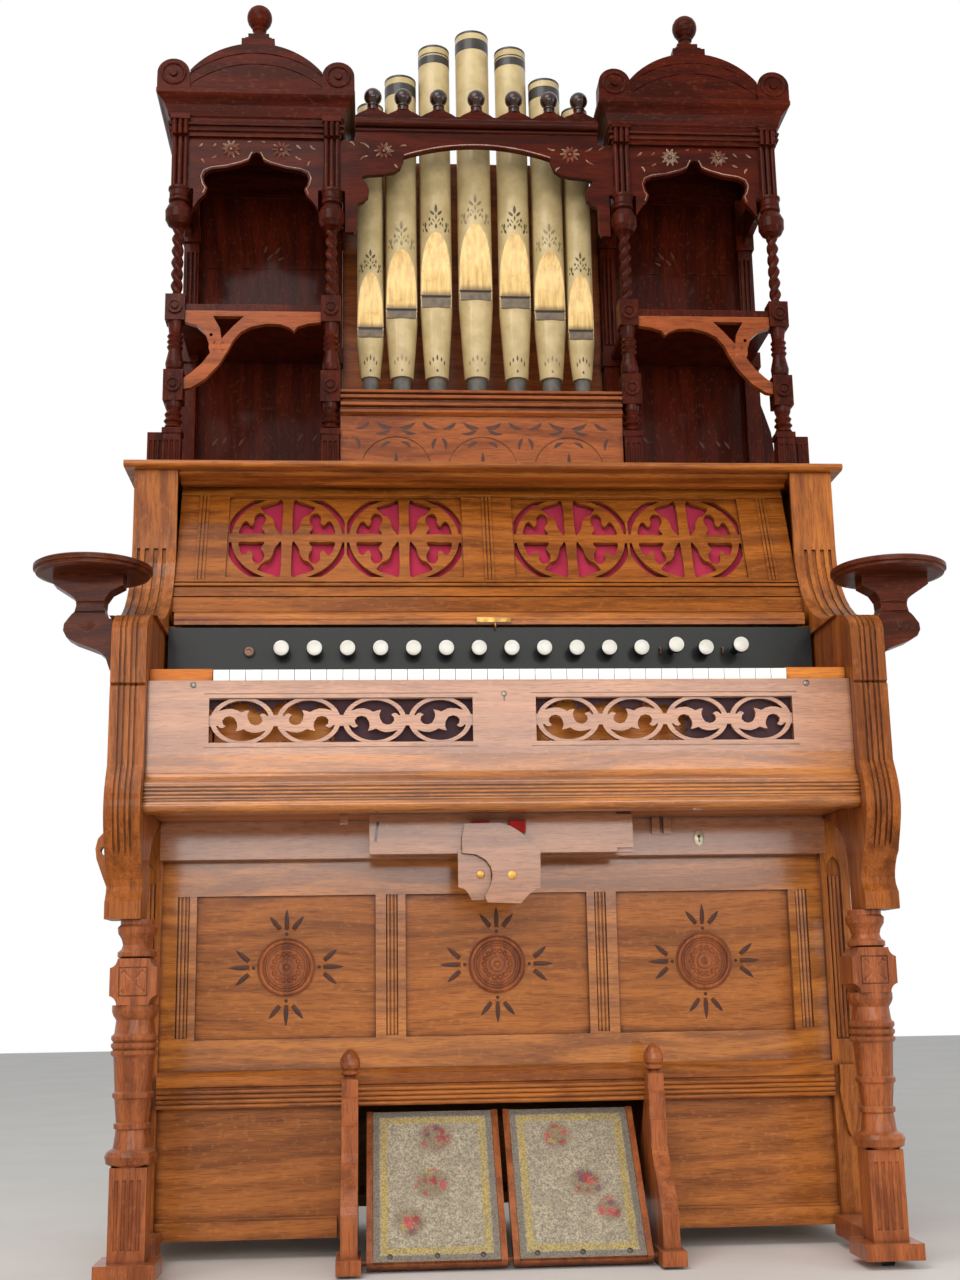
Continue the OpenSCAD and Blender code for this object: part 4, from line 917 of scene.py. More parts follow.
@dataclass
class LowerCase(Assembly):
    """Case sides, panelled front, base, legs and the shoulders over them."""

    finishes: ClassVar[dict[str, Finish]] = {
        "case_sides": OAK_UP, "case_back": PLAIN_PINE, "case_floor": PLAIN_PINE, "front_frame": OAK_RAIL,
        "front_panels": OAK_PANEL, "front_rosettes": OAK_RED, "lower_moulding": OAK,
        "base_panels": OAK_PANEL, "pedal_well": OAK_UP, "leg_strips": OAK_UP, "knee_board": OAK_SLIP,
        "knee_lever": OAK_SLIP, "key_bed": OAK, "front_moulding": OAK_RAIL, "case_top": OAK,
        "cheeks": OAK_CHEEK, "consoles": OAK_UP, "legs": OAK_RED, "leg_feet": OAK_RED, "casters": IRON,
        "lamp_stands": LAMP_TOP,
    }
    panel_y: float = 249.8
    panel_x: tuple[float, ...] = (-323.5, 0.0, 323.5)
    panel_z: float = 421.0
    rail_y: float = 200.0
    plate_x: float = 314.0
    plate_z: float = 607.0

    def build(self) -> None:
        """Dresses the case and adds felts, screws, the keyhole plate and the painted shade of the panels'
        carved leaves.
        """
        super().build()
        self.knee_fittings()
        self.keyhole()
        self.panel_gouge_shade()

    def knee_fittings(self) -> None:
        """Red felts on the knee board and screws on the board and the lever."""
        felt = Mesher("knee_felts")
        for x in (-33.0, 22.0):
            outline = [at(x + a, 101.8, 618 + b) for a, b in ((-13, -9), (13, -9), (13, 9), (-13, 9))]
            felt.plate(outline, FRONT * 0.004, 0.12)
        felt.done(FELT)
        screws = Mesher("knee_screws")
        screws.screw(at(-33, 104, 548), 6.5)
        screws.done(BRASS)
        lever = Mesher("knee_lever_screw")
        lever.screw(at(13, 92, 546), 7.0, 1.1)
        lever.done(BRASS, body="knee_lever")

    def keyhole(self) -> None:
        """The keyhole plate on the right of the upper rail, its hole painted black as shade."""
        x, y, z = self.plate_x, self.rail_y, self.plate_z
        plate = Mesher("escutcheon")
        oval = [at(x + 8 * math.cos(a), y, z + 12 * math.sin(a)) for a in turns(24)]
        plate.plate(oval, FRONT * 0.0016, 0.15)
        plate.done(NICKEL)
        # Painted shade: a black disc and slit stand for the open keyhole.
        hole = Mesher("escutcheon_hole_shade")
        hole.turned(at(x, y - 1.4, z + 3), FRONT, [(0, 2.6), (0.5, 2.4)], 16)
        slit = ((-1.2, -6), (1.2, -6), (1.0, 2), (-1.0, 2))
        hole.plate([at(x + a, y - 1.4, z + b) for a, b in slit], FRONT * 0.0005)
        hole.done(BLACK_PAINT_AND_SHADE)

    def panel_gouge_shade(self) -> None:
        """Dark leaves and dots laid on the four sides of each rosette as painted shade of carved gouges."""
        shaded_gouges = Mesher("panel_gouge_shade")
        y, z = self.panel_y, self.panel_z
        marks = (((0, 56), (0, 88), 7.0), ((-9.5, 57), (-26.2, 77), 7.5), ((9.5, 57), (26.2, 77), 7.5))
        for x in self.panel_x:
            for k in range(4):
                quarter = Matrix.Rotation(math.pi / 2 * k, 2)
                for root, tip, width in marks:
                    a, b = (quarter @ Vector(p) for p in (root, tip))
                    shaded_gouges.leaf(at(x + a.x, y, z + a.y), at(x + b.x, y, z + b.y), width, 0.5)
                dot = quarter @ Vector((0, 50))
                shaded_gouges.turned(at(x + dot.x, y, z + dot.y), FRONT, [(0, 2.6), (0.3, 2.4), (0.4, 0.2)], 12)
        shaded_gouges.done(GOUGE_SHADE)


@dataclass
class Keyboard(Assembly):
    """Keys, stop board with its knobs, fall, key slip and its torn cloth."""

    finishes: ClassVar[dict[str, Finish]] = {
        "key_slip": OAK_SLIP, "slip_frets": OAK_SLIP, "key_frame": PINE, "naturals": IVORY, "sharps": EBONY,
        "stop_board": EBONY, "fallboard": OAK,
    } | {f"knob_{i:02d}": EBONY for i in range(1, 16)}
    stop_z: float = 902.0
    stop_pitch: float = 51.0
    stop_count: int = 15
    drawn: tuple[int, ...] = (12, 14)
    drawn_out: float = 20.0
    knob_front: float = 158.5
    slip_x: tuple[float, float] = (46.0, 425.0)
    slip_z: tuple[float, float] = (733.0, 798.0)
    hem: float = 7.0

    def build(self) -> None:
        """Dresses the keys and adds knob faces, fittings and cloth."""
        super().build()
        self.knobs()
        self.fittings()
        for side in Side:
            self.slip_cloth(side)

    def knobs(self) -> None:
        """A domed white face on each draw stop."""
        dome = [(0, 12.0), (1.2, 11.8), (1.7, 10.8), (2.1, 6.6), (2.3, 0.3)]
        for i in range(self.stop_count):
            out = self.drawn_out if i in self.drawn else 0.0
            middle = at((i - 6.5) * self.stop_pitch, self.knob_front + 1.2 - out, self.stop_z)
            face = Mesher(f"stop_face_{i + 1:02d}")
            face.turned(middle, FRONT, dome, 32)
            face.done(PORCELAIN, body=f"knob_{i + 1:02d}", slot="knob_face")

    def fittings(self) -> None:
        """The open bush, hooks, lock plate and the slip's screws."""
        metal = Mesher("stop_board_brass")
        bush = at(-7.5 * self.stop_pitch, 186, self.stop_z)
        metal.turned(bush, FRONT, [(0, 7.4), (1.4, 7.4), (2, 6.6), (2, 4.2), (0.4, 4), (0.2, 0.3)])
        for x in (263.0, 363.0):
            bent = ((190, 906), (184, 907), (181, 903), (182, 898), (186, 896))
            metal.tube([at(x, y, z) for y, z in bent], 1.3)
        metal.done(COPPER)
        lock = Mesher("fall_lock")
        corners = ((-27, 949), (27, 949), (27, 957), (-27, 957))
        lock.plate([at(x, 188.4, z) for x, z in corners], FRONT * 0.0007, 0.03)
        lock.tube([at(2, y, z) for y, z in ((188, 949), (183, 946), (181, 941), (184, 937))], 1.4)
        lock.done(BRASS, body="fall")
        screws = Mesher("slip_screws")
        for x, z in ((-448, 817.5), (448, 817.5), (0, 803)):
            screws.screw(at(x, 21.2, z), 3.9, 0.3 + x / 700)
        screws.done(STEEL)

    def slip_cloth(self, side: Side) -> None:
        """One piece of cloth behind the pierced slip, torn away on its left.

        Args:
            side: The half of the slip it hangs behind.
        """
        rng = Random(7 + side.value)
        low, high = self.slip_x
        start = low - self.hem if side is Side.RIGHT else -high - self.hem
        width, length = high - low + 2 * self.hem, self.slip_z[1] - self.slip_z[0] + 2 * self.hem
        columns, rows = 108, 20
        tear = 0.62 if side is Side.RIGHT else 0.5
        edge = [0.16 + 0.1 * rng.random() + 0.08 * math.sin(i * 0.35) for i in range(columns + 1)]

        def place(u: float, v: float) -> Vector:
            """Returns a point of the slack cloth."""
            slack = 0.5 * math.sin(u * 26 + 3 * v) * v * (1 - v) + 0.2 * math.sin(u * 71)
            return at(start + u * width, 39.2 + slack, self.slip_z[1] + self.hem - v * length)

        def kept(i: int, j: int) -> bool:
            """Tells whether the tear has spared a quad.

            Args:
                i: The quad's column.
                j: Its row.

            Returns:
                Whether the quad is still there.
            """
            u, v = (i + 0.5) / columns, (j + 0.5) / rows
            reach = max(0.0, min(1.0, (tear - u) / 0.07 + rng.uniform(-0.3, 0.3)))
            return not (v > edge[i] and reach > 0.5 and v < 0.93 - 0.1 * rng.random())

        mesher = Mesher(f"slip_cloth_{side.name.lower()}")
        mesher.cut((columns, rows), place, (0.0, width / length), kept)
        left = sum(f.calc_area() for f in mesher.bm.faces)
        stands_for = ("slip_cloth",) if side is Side.LEFT else ()
        cloth = mesher.done(SLIP_CLOTH, slot="slip_cloth", replaces=stands_for)


@dataclass
class MusicDesk(Assembly):
    """The leaning desk with crimson cloth behind its frets."""

    finishes: ClassVar[dict[str, Finish]] = {"music_desk": OAK_DESK, "desk_frets": OAK_DESK}
    foot_y: float = 226.0
    foot_z: float = 972.0
    lean: float = 21.0
    open_x: tuple[float, float] = (42.0, 428.0)
    open_v: tuple[float, float] = (72.0, 237.0)
    hem: float = 8.0

    def build(self) -> None:
        """Dresses the desk and stretches the cloths."""
        super().build()
        for side in Side:
            self.cloth(side)

    def cloth(self, side: Side) -> None:
        """One cloth on the back of the desk, puckered where it was tacked.

        Args:
            side: The half of the desk it covers.
        """
        start = self.open_x[0] - self.hem if side is Side.RIGHT else -self.open_x[1] - self.hem
        width = self.open_x[1] - self.open_x[0] + 2 * self.hem
        length = self.open_v[1] - self.open_v[0] + 2 * self.hem
        turn = math.radians(90 - self.lean)

        def place(u: float, v: float) -> Vector:
            """Returns a point of the puckered cloth behind the desk's face.

            Args:
                u: The share of the cut's width.
                v: The share of its length.

            Returns:
                The place in metres.
            """
            pucker = 0.5 * math.sin(u * 60 + 2 * math.sin(v * 5)) * (abs(v - 0.5) * 2) ** 2
            deep = 17.2 - 0.7 * math.sin(math.pi * u) * math.sin(math.pi * v) + pucker
            up = self.open_v[0] - self.hem + v * length
            y = self.foot_y + up * math.cos(turn) + deep * math.sin(turn)
            return at(start + u * width, y, self.foot_z + up * math.sin(turn) - deep * math.cos(turn))

        mesher = Mesher(f"desk_cloth_{side.name.lower()}")
        mesher.cut((96, 42), place, (0.0, width / length))
        stands_for = ("desk_cloth",) if side is Side.LEFT else ()
        cloth = mesher.done(DESK_CLOTH, slot="desk_cloth", replaces=stands_for)


@dataclass
class Pedals(Assembly):
    """The two carpeted blowing pedals between their posts."""

    finishes: ClassVar[dict[str, Finish]] = {
        "pedal_posts": OAK_RED, "pedal_left": OAK_RED, "pedal_right": OAK_RED
    }
    pin_y: float = 106.0
    pin_z: float = 14.0
    angle: float = 50.0
    gap: float = 8.0
    width: float = 197.0
    rail: float = 9.0
    top: float = 206.0
    heel: float = -8.0

    def build(self) -> None:
        """Dresses the pedals and lays the carpets."""
        super().build()
        for side in Side:
            self.carpet(side)
            self.tacks(side)

    def point(self, side: Side, x: float, along: float, proud: float) -> Vector:
        """Finds a place on a pedal.

        Args:
            side: The pedal.
            x: Distance from its inner edge.
            along: Distance up its slope.
            proud: Height over its hinge's plane.

        Returns:
            The place in metres.
        """
        turn = math.radians(self.angle)
        y = self.pin_y + along * math.cos(turn) - proud * math.sin(turn)
        z = self.pin_z + along * math.sin(turn) + proud * math.cos(turn)
        return at(side.value * (self.gap / 2 + x), y, z)

    def carpet(self, side: Side) -> None:
        """The worn carpet on one pedal.

        Args:
            side: The pedal it is tacked to.
        """
        turn = math.radians(self.angle)
        width = self.width - 2 * self.rail - 1
        length = (self.top - self.pin_z - 13 * math.cos(turn)) / math.sin(turn) - 2 - self.heel
        rng = Random(11 + side.value)

        def place(u: float, v: float) -> Vector:
            """Returns a point of the uneven pile."""
            wave = 0.5 * math.sin(u * 7 + v * 4) * math.sin(v * 9) + rng.uniform(-0.12, 0.12)
            return self.point(side, self.rail + 0.5 + u * width, self.heel + 1 + v * length, 12.2 + wave)

        mesher = Mesher(f"carpet_{side.name.lower()}")
        mesher.cut((60, 80), place, (0.0, 1.0) if side is Side.RIGHT else (1.0, -1.0))
        body = f"pedal_{side.name.lower()}"
        carpet = mesher.done(CARPETS[side], body=body, slot="pedal")

    def tacks(self, side: Side) -> None:
        """Tacks along the lower edge of one carpet.

        Args:
            side: The pedal they hold the carpet to.
        """
        tacks = Mesher(f"carpet_tacks_{side.name.lower()}")
        turn = math.radians(self.angle)
        normal = Vector((0, -math.sin(turn), math.cos(turn)))
        for x in (34.0, 98.0, 164.0):
            foot = self.point(side, x, self.heel + 9, 12.4)
            tacks.turned(foot, normal, [(0, 4), (1, 3.6), (1.8, 2), (2, 0.3)], 16)
        tacks.done(IRON, body=f"pedal_{side.name.lower()}")


@dataclass
class HighTop(Assembly):
    """The two canopied towers and the frieze between them."""

    finishes: ClassVar[dict[str, Finish]] = {
        "tower_columns": TOP_UP, "tower_boards": TOP_UP, "tower_brackets": BRACKET,
        "tower_friezes": TOP_CARVED, "tower_roofs": TOP, "centre_frieze": TOP_CARVED, "crest": TOP,
        "pipe_rack": RACK,
    }
    tower_x: float = 398.0
    frieze_y: float = 367.0
    cornice_z: float = 1886.0
    board_y: float = 585.8
    arch_pitch: float = 150.0
    arch_half: float = 133.0
    crest_x: tuple[float, ...] = (0.0, 69.0, 134.0, 189.0)
    ball_z: float = 1977.3
    ball_r: float = 16.4
    cusps: tuple[tuple[float, float], ...] = (
        (8, -27), (14, -40), (26, -46), (53, -54), (80, -58), (93, -64), (98, -76), (95, -90), (90, -98),
        (94, -109),
    )
    tower_sprigs: tuple[tuple[float, ...], ...] = (
        (8, 3, 16, 1, 5), (72, -3, 80, -11, 5), (70, -26, 80, -32, 5), (96, -4, 106, -12, 5),
        (98, -34, 92, -44, 5),
    )
    centre_sprigs: tuple[tuple[float, ...], ...] = (
        (128, 0, 142, -4, 5), (196, -6, 212, 4, 5), (198, -22, 214, -32, 5), (222, -2, 232, 6, 5),
        (150, -38, 142, -46, 5),
    )
    rack_sprigs: tuple[tuple[float, ...], ...] = (
        (6, 1336, 34, 1346, 8), (10, 1332, 36, 1326, 6), (46, 1346, 70, 1334, 7), (70, 1318, 64, 1296, 6),
        (26, 1300, 8, 1310, 6),
    )
    board_sprigs: tuple[tuple[float, ...], ...] = (
        (489, 1380, 478, 1396, 5), (470, 1384, 462, 1398, 5), (440, 1380, 430, 1396, 5),
        (331, 1390, 321, 1406, 5), (303, 1390, 293, 1406, 5), (392, 1756, 380, 1770, 5),
        (378, 1768, 366, 1784, 5), (398, 1770, 392, 1786, 5), (372, 1756, 360, 1762, 5),
    )

    def build(self) -> None:
        """Dresses the towers and carves them."""
        super().build()
        self.frieze_flowers()
        self.frieze_beads()
        self.balls()
        self.gouges()

    def frieze_flowers(self) -> None:
        """Daisies and small leaves on the three friezes, their edges painted near white as highlights."""
        carved = Mesher("frieze_flowers")
        y, z = self.frieze_y + 0.3, self.cornice_z
        for side in Side:
            middle = side.value * self.tower_x
            for x in (middle - 45, middle + 45, side.value * 169):
                carved.daisy(at(x, y, z - (20 if abs(x) == 169 else 22)), 18.0)
            for way in (-1, 1):
                carved.leaves(self.tower_sprigs, (middle, y, z - 8), way, 2.0, 0.1 * way, 5)
            carved.leaves(self.centre_sprigs, (0.0, y, z - 8), side.value, 2.0, 0.1, 5)
        carved.done(RELIEF_PAINTED_HIGHLIGHTS)

    def frieze_beads(self) -> None:
        """Thin beads that follow the friezes' lower edges, painted near white as highlights."""
        beads = Mesher("frieze_beads")
        y, z = self.frieze_y, self.cornice_z
        for side in Side:
            for way in (-1, 1):
                middle = side.value * self.tower_x
                beads.tube([at(middle + way * x, y, z + up) for x, up in self.cusps], 1.3, 6)
            shares = [k / 8 for k in range(9)]
            arch = [at(side.value * self.arch_half * t, y, z - 4 - 23 * t**2) for t in shares]
            beads.tube(arch, 1.5, 6)
        beads.done(RELIEF_PAINTED_HIGHLIGHTS)

    def balls(self) -> None:
        """Polished dark balls with collars along the crest."""
        dark = Mesher("crest_balls")
        profile = [(-27, 8.4), (-20, 8.6), (-18.5, 10.5), (-16.5, 10.5), (-15, 8.8)]
        for a in (math.pi * (0.2 + 0.78 * k / 14) for k in range(15)):
            profile.append((-self.ball_r * math.cos(a), self.ball_r * math.sin(a)))
        for x in {way * x for x in self.crest_x for way in (-1, 1)}:
            dark.turned(at(x, self.frieze_y + 6, self.ball_z), UP, profile, 28)
        dark.done(BALLS)

    def gouges(self) -> None:
        """Dark leaves laid over the arches of the rack's front and on the towers' back boards as painted
        shade of carved gouges.
        """
        rack = Mesher("rack_gouge_shade")
        y = self.frieze_y - 6.2
        for x in (-self.arch_pitch, 0.0, self.arch_pitch):
            for way in (-1, 1):
                rack.leaves(self.rack_sprigs, (x, y, 0.0), way, 0.5, 0.12 * way)
            rack.leaf(at(x, y, 1266), at(x, y, 1292), 6, 0.5)
        rack.done(GOUGE_SHADE)
        boards = Mesher("board_gouge_shade")
        for side in Side:
            boards.leaves(self.board_sprigs, (0.0, self.board_y, 0.0), side.value, 0.5)
        boards.done(GOUGE_SHADE)


@dataclass(frozen=True)
class Pipe:
    """One dummy pipe's place, radius and heights."""

    name: str
    x: float
    r: float
    top: float
    mouth: float
    rise: float
    lip: float
    axis_y: float = 475.0
    rack_z: float = 1401.0

    @property
    def toe(self) -> float:
        """The height at which the conical foot starts."""
        return self.rack_z + 68

    def skin(self, radius: float, a: float, z: float) -> Vector:
        """Returns the place at the given radius and angle from the front line."""
        return at(self.x + radius * math.sin(a), self.axis_y - radius * math.cos(a), z)

    def depth(self, off: float, z: float) -> float:
        """Returns how far in front of its axis the pipe's surface lies.

        Args:
            off: The place's distance to the side of the axis.
            z: Its height.

        Returns:
            The depth in millimetres, on the skin or on the flats of the mouth.
        """
        skin = math.sqrt(max(self.r**2 - off * off, 0.0))
        if z <= self.lip or z >= self.mouth + self.rise:
            return skin
        if z < self.mouth - 6:
            half = 0.94 * math.sqrt(1 - max(1 - (z - self.lip) / 13, 0.0) ** 3)
        elif z < self.mouth:
            half = 0.985
        else:
            half = 0.965 * math.sqrt(1 - ((z - self.mouth) / self.rise) ** 3)
        return min(skin, self.r * math.sqrt(1 - half * half))

    def rings(self) -> list[list[Vector]]:
        """Returns the rings of the hollow pipe from its toe over its head and down inside.

        Returns:
            The rings in metres, from toe to inside.
        """
        toe, mouth, top, angles = self.toe, self.mouth, self.top, turns(72)
        foot = ((self.rack_z, 0.504), (toe, 0.5616), (toe + 0.1, 0.70), (toe + 2, 0.72), (self.lip, 1.0))
        rings = [[self.skin(self.r * share, a, z) for a in angles] for z, share in foot]
        levels = [self.lip + 13 * (k / 6) ** 1.6 for k in range(1, 7)]
        levels += [mouth - 6.05, mouth - 5.95, mouth - 0.05]
        levels += [mouth + 0.05 + self.rise * (1 - (1 - k / 26) ** 1.6) for k in range(27)]
        for z in levels:
            ring = []
            for a in angles:
                off, back = self.r * math.sin(a), self.r * math.cos(a)
                deep = self.depth(off, z) if back > 0 else back
                ring.append(at(self.x + off, self.axis_y - deep, z))
            rings.append(ring)
        head = ((top - 2, 0.0), (top - 0.6, 0.3), (top, 0.9), (top, 2.0), (top - 1, 2.5), (top - 30, 2.5))
        return rings + [[self.skin(self.r - inset, a, z) for a in angles] for z, inset in head]

    def row(
        self, z: float, half: float, lift: float, span: float, v: float
    ) -> list[tuple[Vector, float, float]]:
        """Returns one row of a painted strip across the mouth.

        Args:
            z: The row's height.
            half: Half its width.
            lift: How far the paint stands off the pipe.
            span: Half the width over which the first painting coordinate runs.
            v: The second painting coordinate.

        Returns:
            Places and painting coordinates, with one place on each edge of the flat.
        """
        deep = self.depth(0.0, z)
        edge = math.sqrt(max(self.r**2 - deep**2, 0.0))
        edge = edge if 0.05 * half < edge < 0.98 * half else half * 0.6
        outer = [edge + (half - edge) * k / 4 for k in range(1, 5)]
        across = [-off for off in reversed(outer)] + [edge * k / 4 for k in range(-4, 5)] + outer
        places = [at(self.x + off, self.axis_y - self.depth(off, z) - lift, z) for off in across]
        return [(place, 0.5 + off / span / 2, v) for place, off in zip(places, across)]


@dataclass
class DisplayPipes(Assembly):
    """Seven dummy pipes with gilt mouths, dark bands and stencilled leaves."""

    sizes: tuple[tuple[float, ...], ...] = (
        (0.0, 31.5, 2166.0, 1644.0, 121.0, 1614.0),
        (73.0, 29.5, 2135.0, 1633.0, 115.0, 1599.0),
        (137.0, 29.5, 2070.0, 1606.0, 107.0, 1577.0),
        (194.0, 24.5, 2013.0, 1569.0, 99.0, 1541.0),
    )
    spray: tuple[tuple[float, ...], ...] = (
        (0, 40, 0, 57, 5.4), (3.4, 35, 11.5, 45, 5), (0, 26, 0, 36, 3), (12, 24, 13, 32, 4),
        (21.5, 11, 20.5, 24, 4.4), (17, 2, 21, 12, 4.2), (0, 8, 0, 18, 4.4), (7, 15, 10, 22, 3.4),
        (3, 21, 8, 29, 2), (26, 18, 25.5, 24, 3), (27, 6, 27, 12, 3), (13, 13, 12, 19, 2.4),
    )
    dashes: tuple[tuple[float, ...], ...] = (
        (0, 30, 0, 41, 3.4), (7.5, 28, 8, 37, 3), (13.5, 22, 14.5, 31, 2.6), (0, 8, 0, 14, 4),
    )

    def build(self) -> None:
        """Builds the pipes and paints each of them."""
        super().build()
        bodies = Mesher("pipe_bodies")
        pipes = []
        for number in range(1, 8):
            i = abs(number - 4)
            x, *rest = self.sizes[i]
            pipes.append((i, Pipe(f"pipe_{number}", math.copysign(x, number - 4), *rest)))
        for _, pipe in pipes:
            bodies.loft(pipe.rings())
        bodies.done(PIPE_CREAM, slot="pipe_paint", replaces=("pipes",))
        for i, pipe in pipes:
            self.mouth(pipe)
            self.bands(pipe, double=i == 1)
            self.stencils(pipe, PIPE_WORN if i in (0, 2) else PIPE_DARK)

    def mouth(self, pipe: Pipe) -> None:
        """The gilt upper lip, the grey lower lip and the mouth slot of one pipe, the slot painted black as
        its shade.

        Args:
            pipe: The pipe.
        """
        gilt, lip, slot = (Mesher(f"{pipe.name}_{part}") for part in ("gilt", "lip", "slot"))
        rows = []
        for t in (1 - (1 - k / 26) ** 1.8 for k in range(27)):
            half = max(pipe.r * 0.975 * math.sqrt(1 - t**3), 0.3)
            rows.append(pipe.row(pipe.mouth + 0.3 + t * pipe.rise, half, 0.45, half, t))
        gilt.strip(rows)
        gilt.done(PIPE_GOLD, slot="pipe_paint")
        rows = []
        for k in range(12):
            bowl = 0.4 + 13 * (k / 8) ** 1.6
            flat = 13.4 + (pipe.mouth - 6.2 - pipe.lip - 13.4) * (k - 8) / 3
            up = bowl if k < 9 else flat
            half = pipe.r * 0.95 * math.sqrt(1 - max(1 - up / 13, 0.0) ** 3)
            rows.append(pipe.row(pipe.lip + up, half, 0.45, pipe.r, k / 11))
        lip.strip(rows)
        lip.done(PIPE_LIP, slot="pipe_paint")
        # Painted shade: a black strip stands for the open mouth slot.
        slot.strip([pipe.row(pipe.mouth - down, pipe.r * 0.9, 0.3, math.inf, 0.5) for down in (5.8, 0.2)])
        slot.done(BLACK_PAINT_AND_SHADE, slot="pipe_paint")

    def bands(self, pipe: Pipe, double: bool) -> None:
        """Black rim and dark bands round the head of one pipe, and its grey toe.

        Args:
            pipe: The pipe.
            double: Whether it has a thin band over the broad one.
        """
        r, top = pipe.r, pipe.top
        dark = Mesher(f"{pipe.name}_bands")
        for low, high in ((18, 15.5), (37, 21)) if double else ((38, 16),):
            dark.ring(pipe.x, pipe.axis_y, (top - low, top - high), (r + 0.3, r - 1))
        dark.ring(pipe.x, pipe.axis_y, (top - 4, top + 0.3), (r + 0.3, r - 2.7))
        dark.done(BLACK_PAINT_AND_SHADE, slot="pipe_paint")
        toe = Mesher(f"{pipe.name}_toe")
        sleeve = [(0.4, r * 0.504 + 0.3), (67.7, r * 0.5616 + 0.3)]
        toe.turned(at(pipe.x, pipe.axis_y, pipe.rack_z), UP, sleeve, 36)
        toe.done(PIPE_TOE, slot="pipe_paint")

    def stencils(self, pipe: Pipe, finish: Finish) -> None:
        """A spray of leaves over the mouth of one pipe and dashes round its foot.

        Args:
            pipe: The pipe.
            finish: The paint of its leaves.
        """
        paint = Mesher(f"{pipe.name}_stencil")
        size = pipe.r / 29.5
        root_z = pipe.mouth + pipe.rise
        for marks, on_foot in ((self.spray, False), (self.dashes, True)):
            for x0, z0, x1, z1, width in marks:
                radii, lift = [pipe.r, pipe.r], [root_z + z * size for z in (z0, z1)]
                if on_foot:
                    radii = [pipe.r * (0.72 + 0.28 * z / (pipe.lip - pipe.toe)) for z in (z0, z1)]
                    lift = [pipe.toe + z for z in (z0, z1)]
                for way in (1,) if x0 == 0 else (-1, 1):
                    root, tip = Vector((way * x0 * size, lift[0])), Vector((way * x1 * size, lift[1]))
                    self.leaf_mark(paint, pipe, radii, root, tip, width * size)
        paint.done(finish, slot="pipe_paint", smooth=False)

    @staticmethod
    def leaf_mark(
        paint: Mesher, pipe: Pipe, radii: Sequence[float], root: Vector, tip: Vector, width: float
    ) -> None:
        """Paints one pointed leaf on a pipe's skin.

        Args:
            paint: The mesh it goes into.
            pipe: The pipe.
            radii: The pipe's radii at the leaf's root and tip.
            root: Where it starts, across and up.
            tip: Where it ends, across and up.
            width: Its greatest width.
        """
        steps = 6
        along = tip - root
        side = Vector((along.y, -along.x)).normalized()
        rows = []
        for k in range(steps + 1):
            t = k / steps
            half = width / 2 * math.sin(math.pi * (0.08 + 0.92 * t)) if k < steps else 0.02
            r = radii[0] + (radii[1] - radii[0]) * t + 0.35
            spots = [root + along * t + side * half * s for s in (-1, 0, 1)]
            rows.append([pipe.skin(r, spot.x / r, spot.y) for spot in spots])
        paint.loft(rows, closed=False)


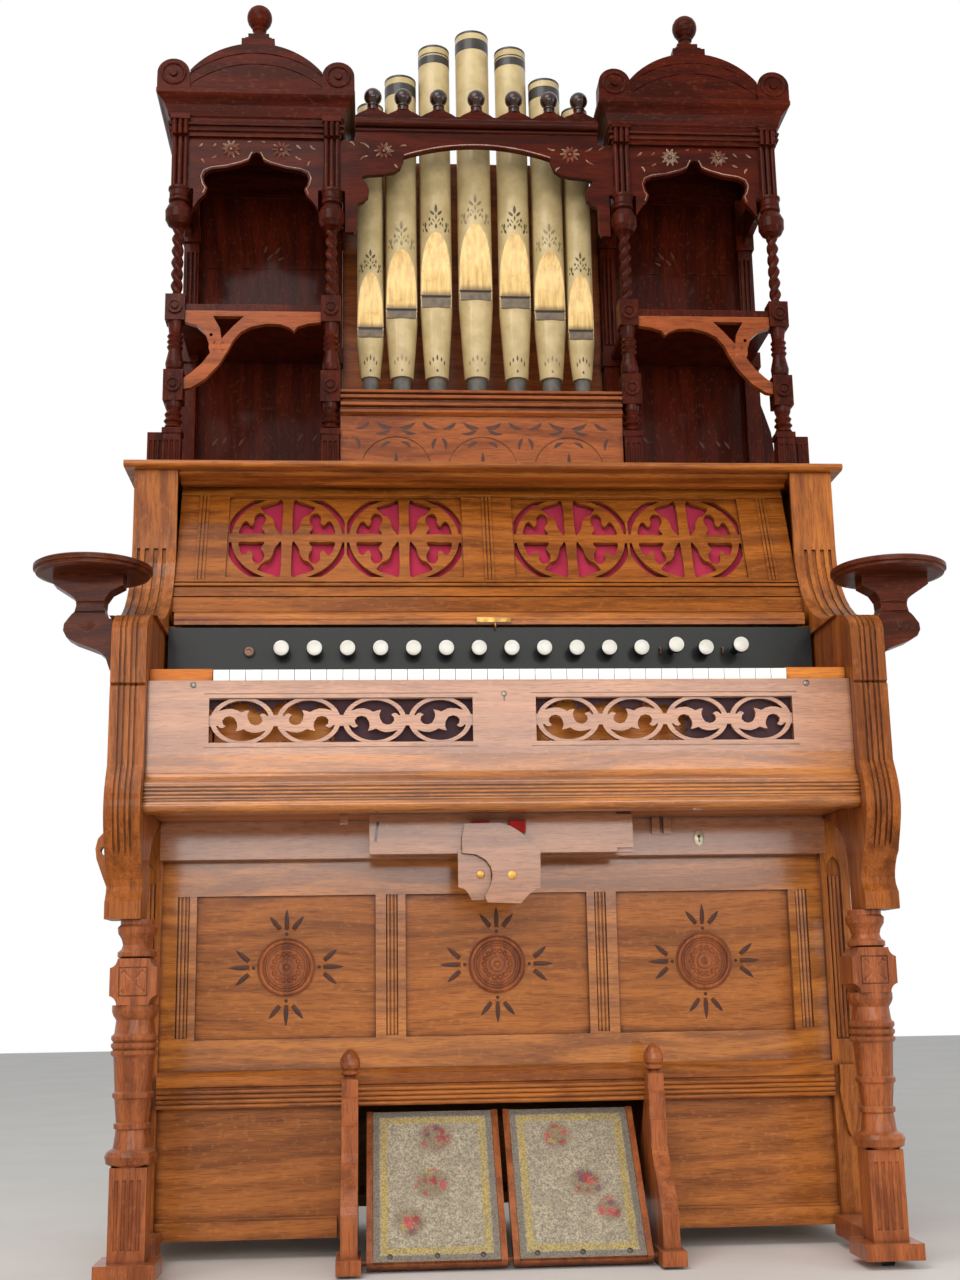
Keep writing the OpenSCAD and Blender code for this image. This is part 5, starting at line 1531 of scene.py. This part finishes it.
@dataclass
class Studio:
    """Camera, lights, floor and background."""

    focal_px: float = 1575.0
    long_side_px: float = 1280.0
    place: Point = (-189.0, -2227.0, 384.0)
    yaw: float = 3.95
    pitch: float = 12.49
    roll: float = -0.96
    floor_half: float = 9.0

    def build(self) -> None:
        """Sets up camera, lamps, floor and background; lamp places are in metres and powers in watts."""
        warm = (1.0, 0.97, 0.93)
        self.camera()
        self.lamp("window", (-0.2, -4.4, 1.55), (0.0, 0.0, 1.0), (3.6, 1.5), 74.0, warm)
        self.lamp("overhead", (-1.2, -2.2, 3.6), (0.0, 0.0, 1.1), (2.2, 2.2), 62.0, warm)
        self.lamp("fill", (2.8, -2.0, 1.4), (0.0, 0.0, 1.2), (1.6, 2.2), 20.0, (1.0, 1.0, 1.0))
        self.floor()
        self.background()

    def camera(self) -> None:
        """Places the camera as the photograph was taken."""
        data = bpy.data.cameras.new("camera")
        data.sensor_width = 36.0
        data.lens = 36.0 * self.focal_px / self.long_side_px
        data.clip_start = 0.05
        made = bpy.data.objects.new("camera", data)
        bpy.context.scene.collection.objects.link(made)
        yaw, pitch, roll = (math.radians(v) for v in (self.yaw, self.pitch, self.roll))
        level = math.cos(pitch)
        ahead = Vector((math.sin(yaw) * level, math.cos(yaw) * level, math.sin(pitch)))
        right = Vector((math.cos(yaw), -math.sin(yaw), 0))
        up = right.cross(ahead)
        right, up = right * math.cos(roll) + up * math.sin(roll), up * math.cos(roll) - right * math.sin(roll)
        turn = Matrix((right, up, -ahead)).transposed().to_4x4()
        made.matrix_world = Matrix.Translation(at(*self.place)) @ turn
        bpy.context.scene.camera = made

    @staticmethod
    def lamp(
        name: str, place: Point, aim: Point, size: tuple[float, float], power: float, colour: Point
    ) -> None:
        """Adds a soft rectangular lamp.

        Args:
            name: The lamp's name.
            place: Where it stands, in metres.
            aim: What it points at, in metres.
            size: Its width and height in metres.
            power: Its power in watts.
            colour: Its colour.
        """
        data = bpy.data.lights.new(name, "AREA")
        data.shape = "RECTANGLE"
        data.size, data.size_y = size
        data.energy = power
        data.color = colour
        made = bpy.data.objects.new(name, data)
        bpy.context.scene.collection.objects.link(made)
        made.location = Vector(place)
        made.rotation_euler = (Vector(aim) - Vector(place)).to_track_quat("-Z", "Y").to_euler()

    def floor(self) -> None:
        """A pale plain floor that keeps the organ's shadow."""
        half = self.floor_half
        mesh = bpy.data.meshes.new("floor")
        corners = [(x * half, y * half, 0.0) for x, y in ((-1, -1), (1, -1), (1, 1), (-1, 1))]
        mesh.from_pydata(corners, [], [(0, 1, 2, 3)])
        mesh.materials.append(FLOOR.material())
        made = bpy.data.objects.new("floor", mesh)
        bpy.context.scene.collection.objects.link(made)

    @staticmethod
    def background() -> None:
        """Soft even light all round, seen as white by the camera and in gloss."""
        world = bpy.data.worlds.new("studio")
        bpy.context.scene.world = world
        world.use_nodes = True
        world.node_tree.nodes.clear()
        bench = Bench(world.node_tree)
        path = bench.put("LightPath").outputs
        seen = bench.maths("MAXIMUM", path["Is Camera Ray"], path["Is Transmission Ray"])
        seen = bench.maths("MAXIMUM", seen, path["Is Glossy Ray"])
        plain = bench.put("Background", {"Color": (0.97, 0.985, 1.0, 1.0), "Strength": 0.42})
        white = bench.put("Background", {"Color": (1.0, 1.0, 1.0, 1.0), "Strength": 1.0})
        both = bench.put("MixShader", {0: seen, 1: plain.outputs[0], 2: white.outputs[0]})
        bench.put("OutputWorld", {"Surface": both.outputs[0]})


def corners(box: Iterable[Iterable[float]]) -> list[list[float]]:
    """Returns a box as plain lists of numbers."""
    return [[float(v) for v in corner] for corner in box]


def main() -> None:
    """Builds the studio and every part of the organ."""
    logging.basicConfig(level=logging.INFO, format="%(name)s: %(message)s")
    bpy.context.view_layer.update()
    bpy.context.scene.view_settings.view_transform = "Standard"
    for part in (Studio(), LowerCase(), Keyboard(), MusicDesk(), Pedals(), HighTop(), DisplayPipes()):
        part.build()
        log.info("%s is built", type(part).__name__)


if __name__ == "__main__":
    main()
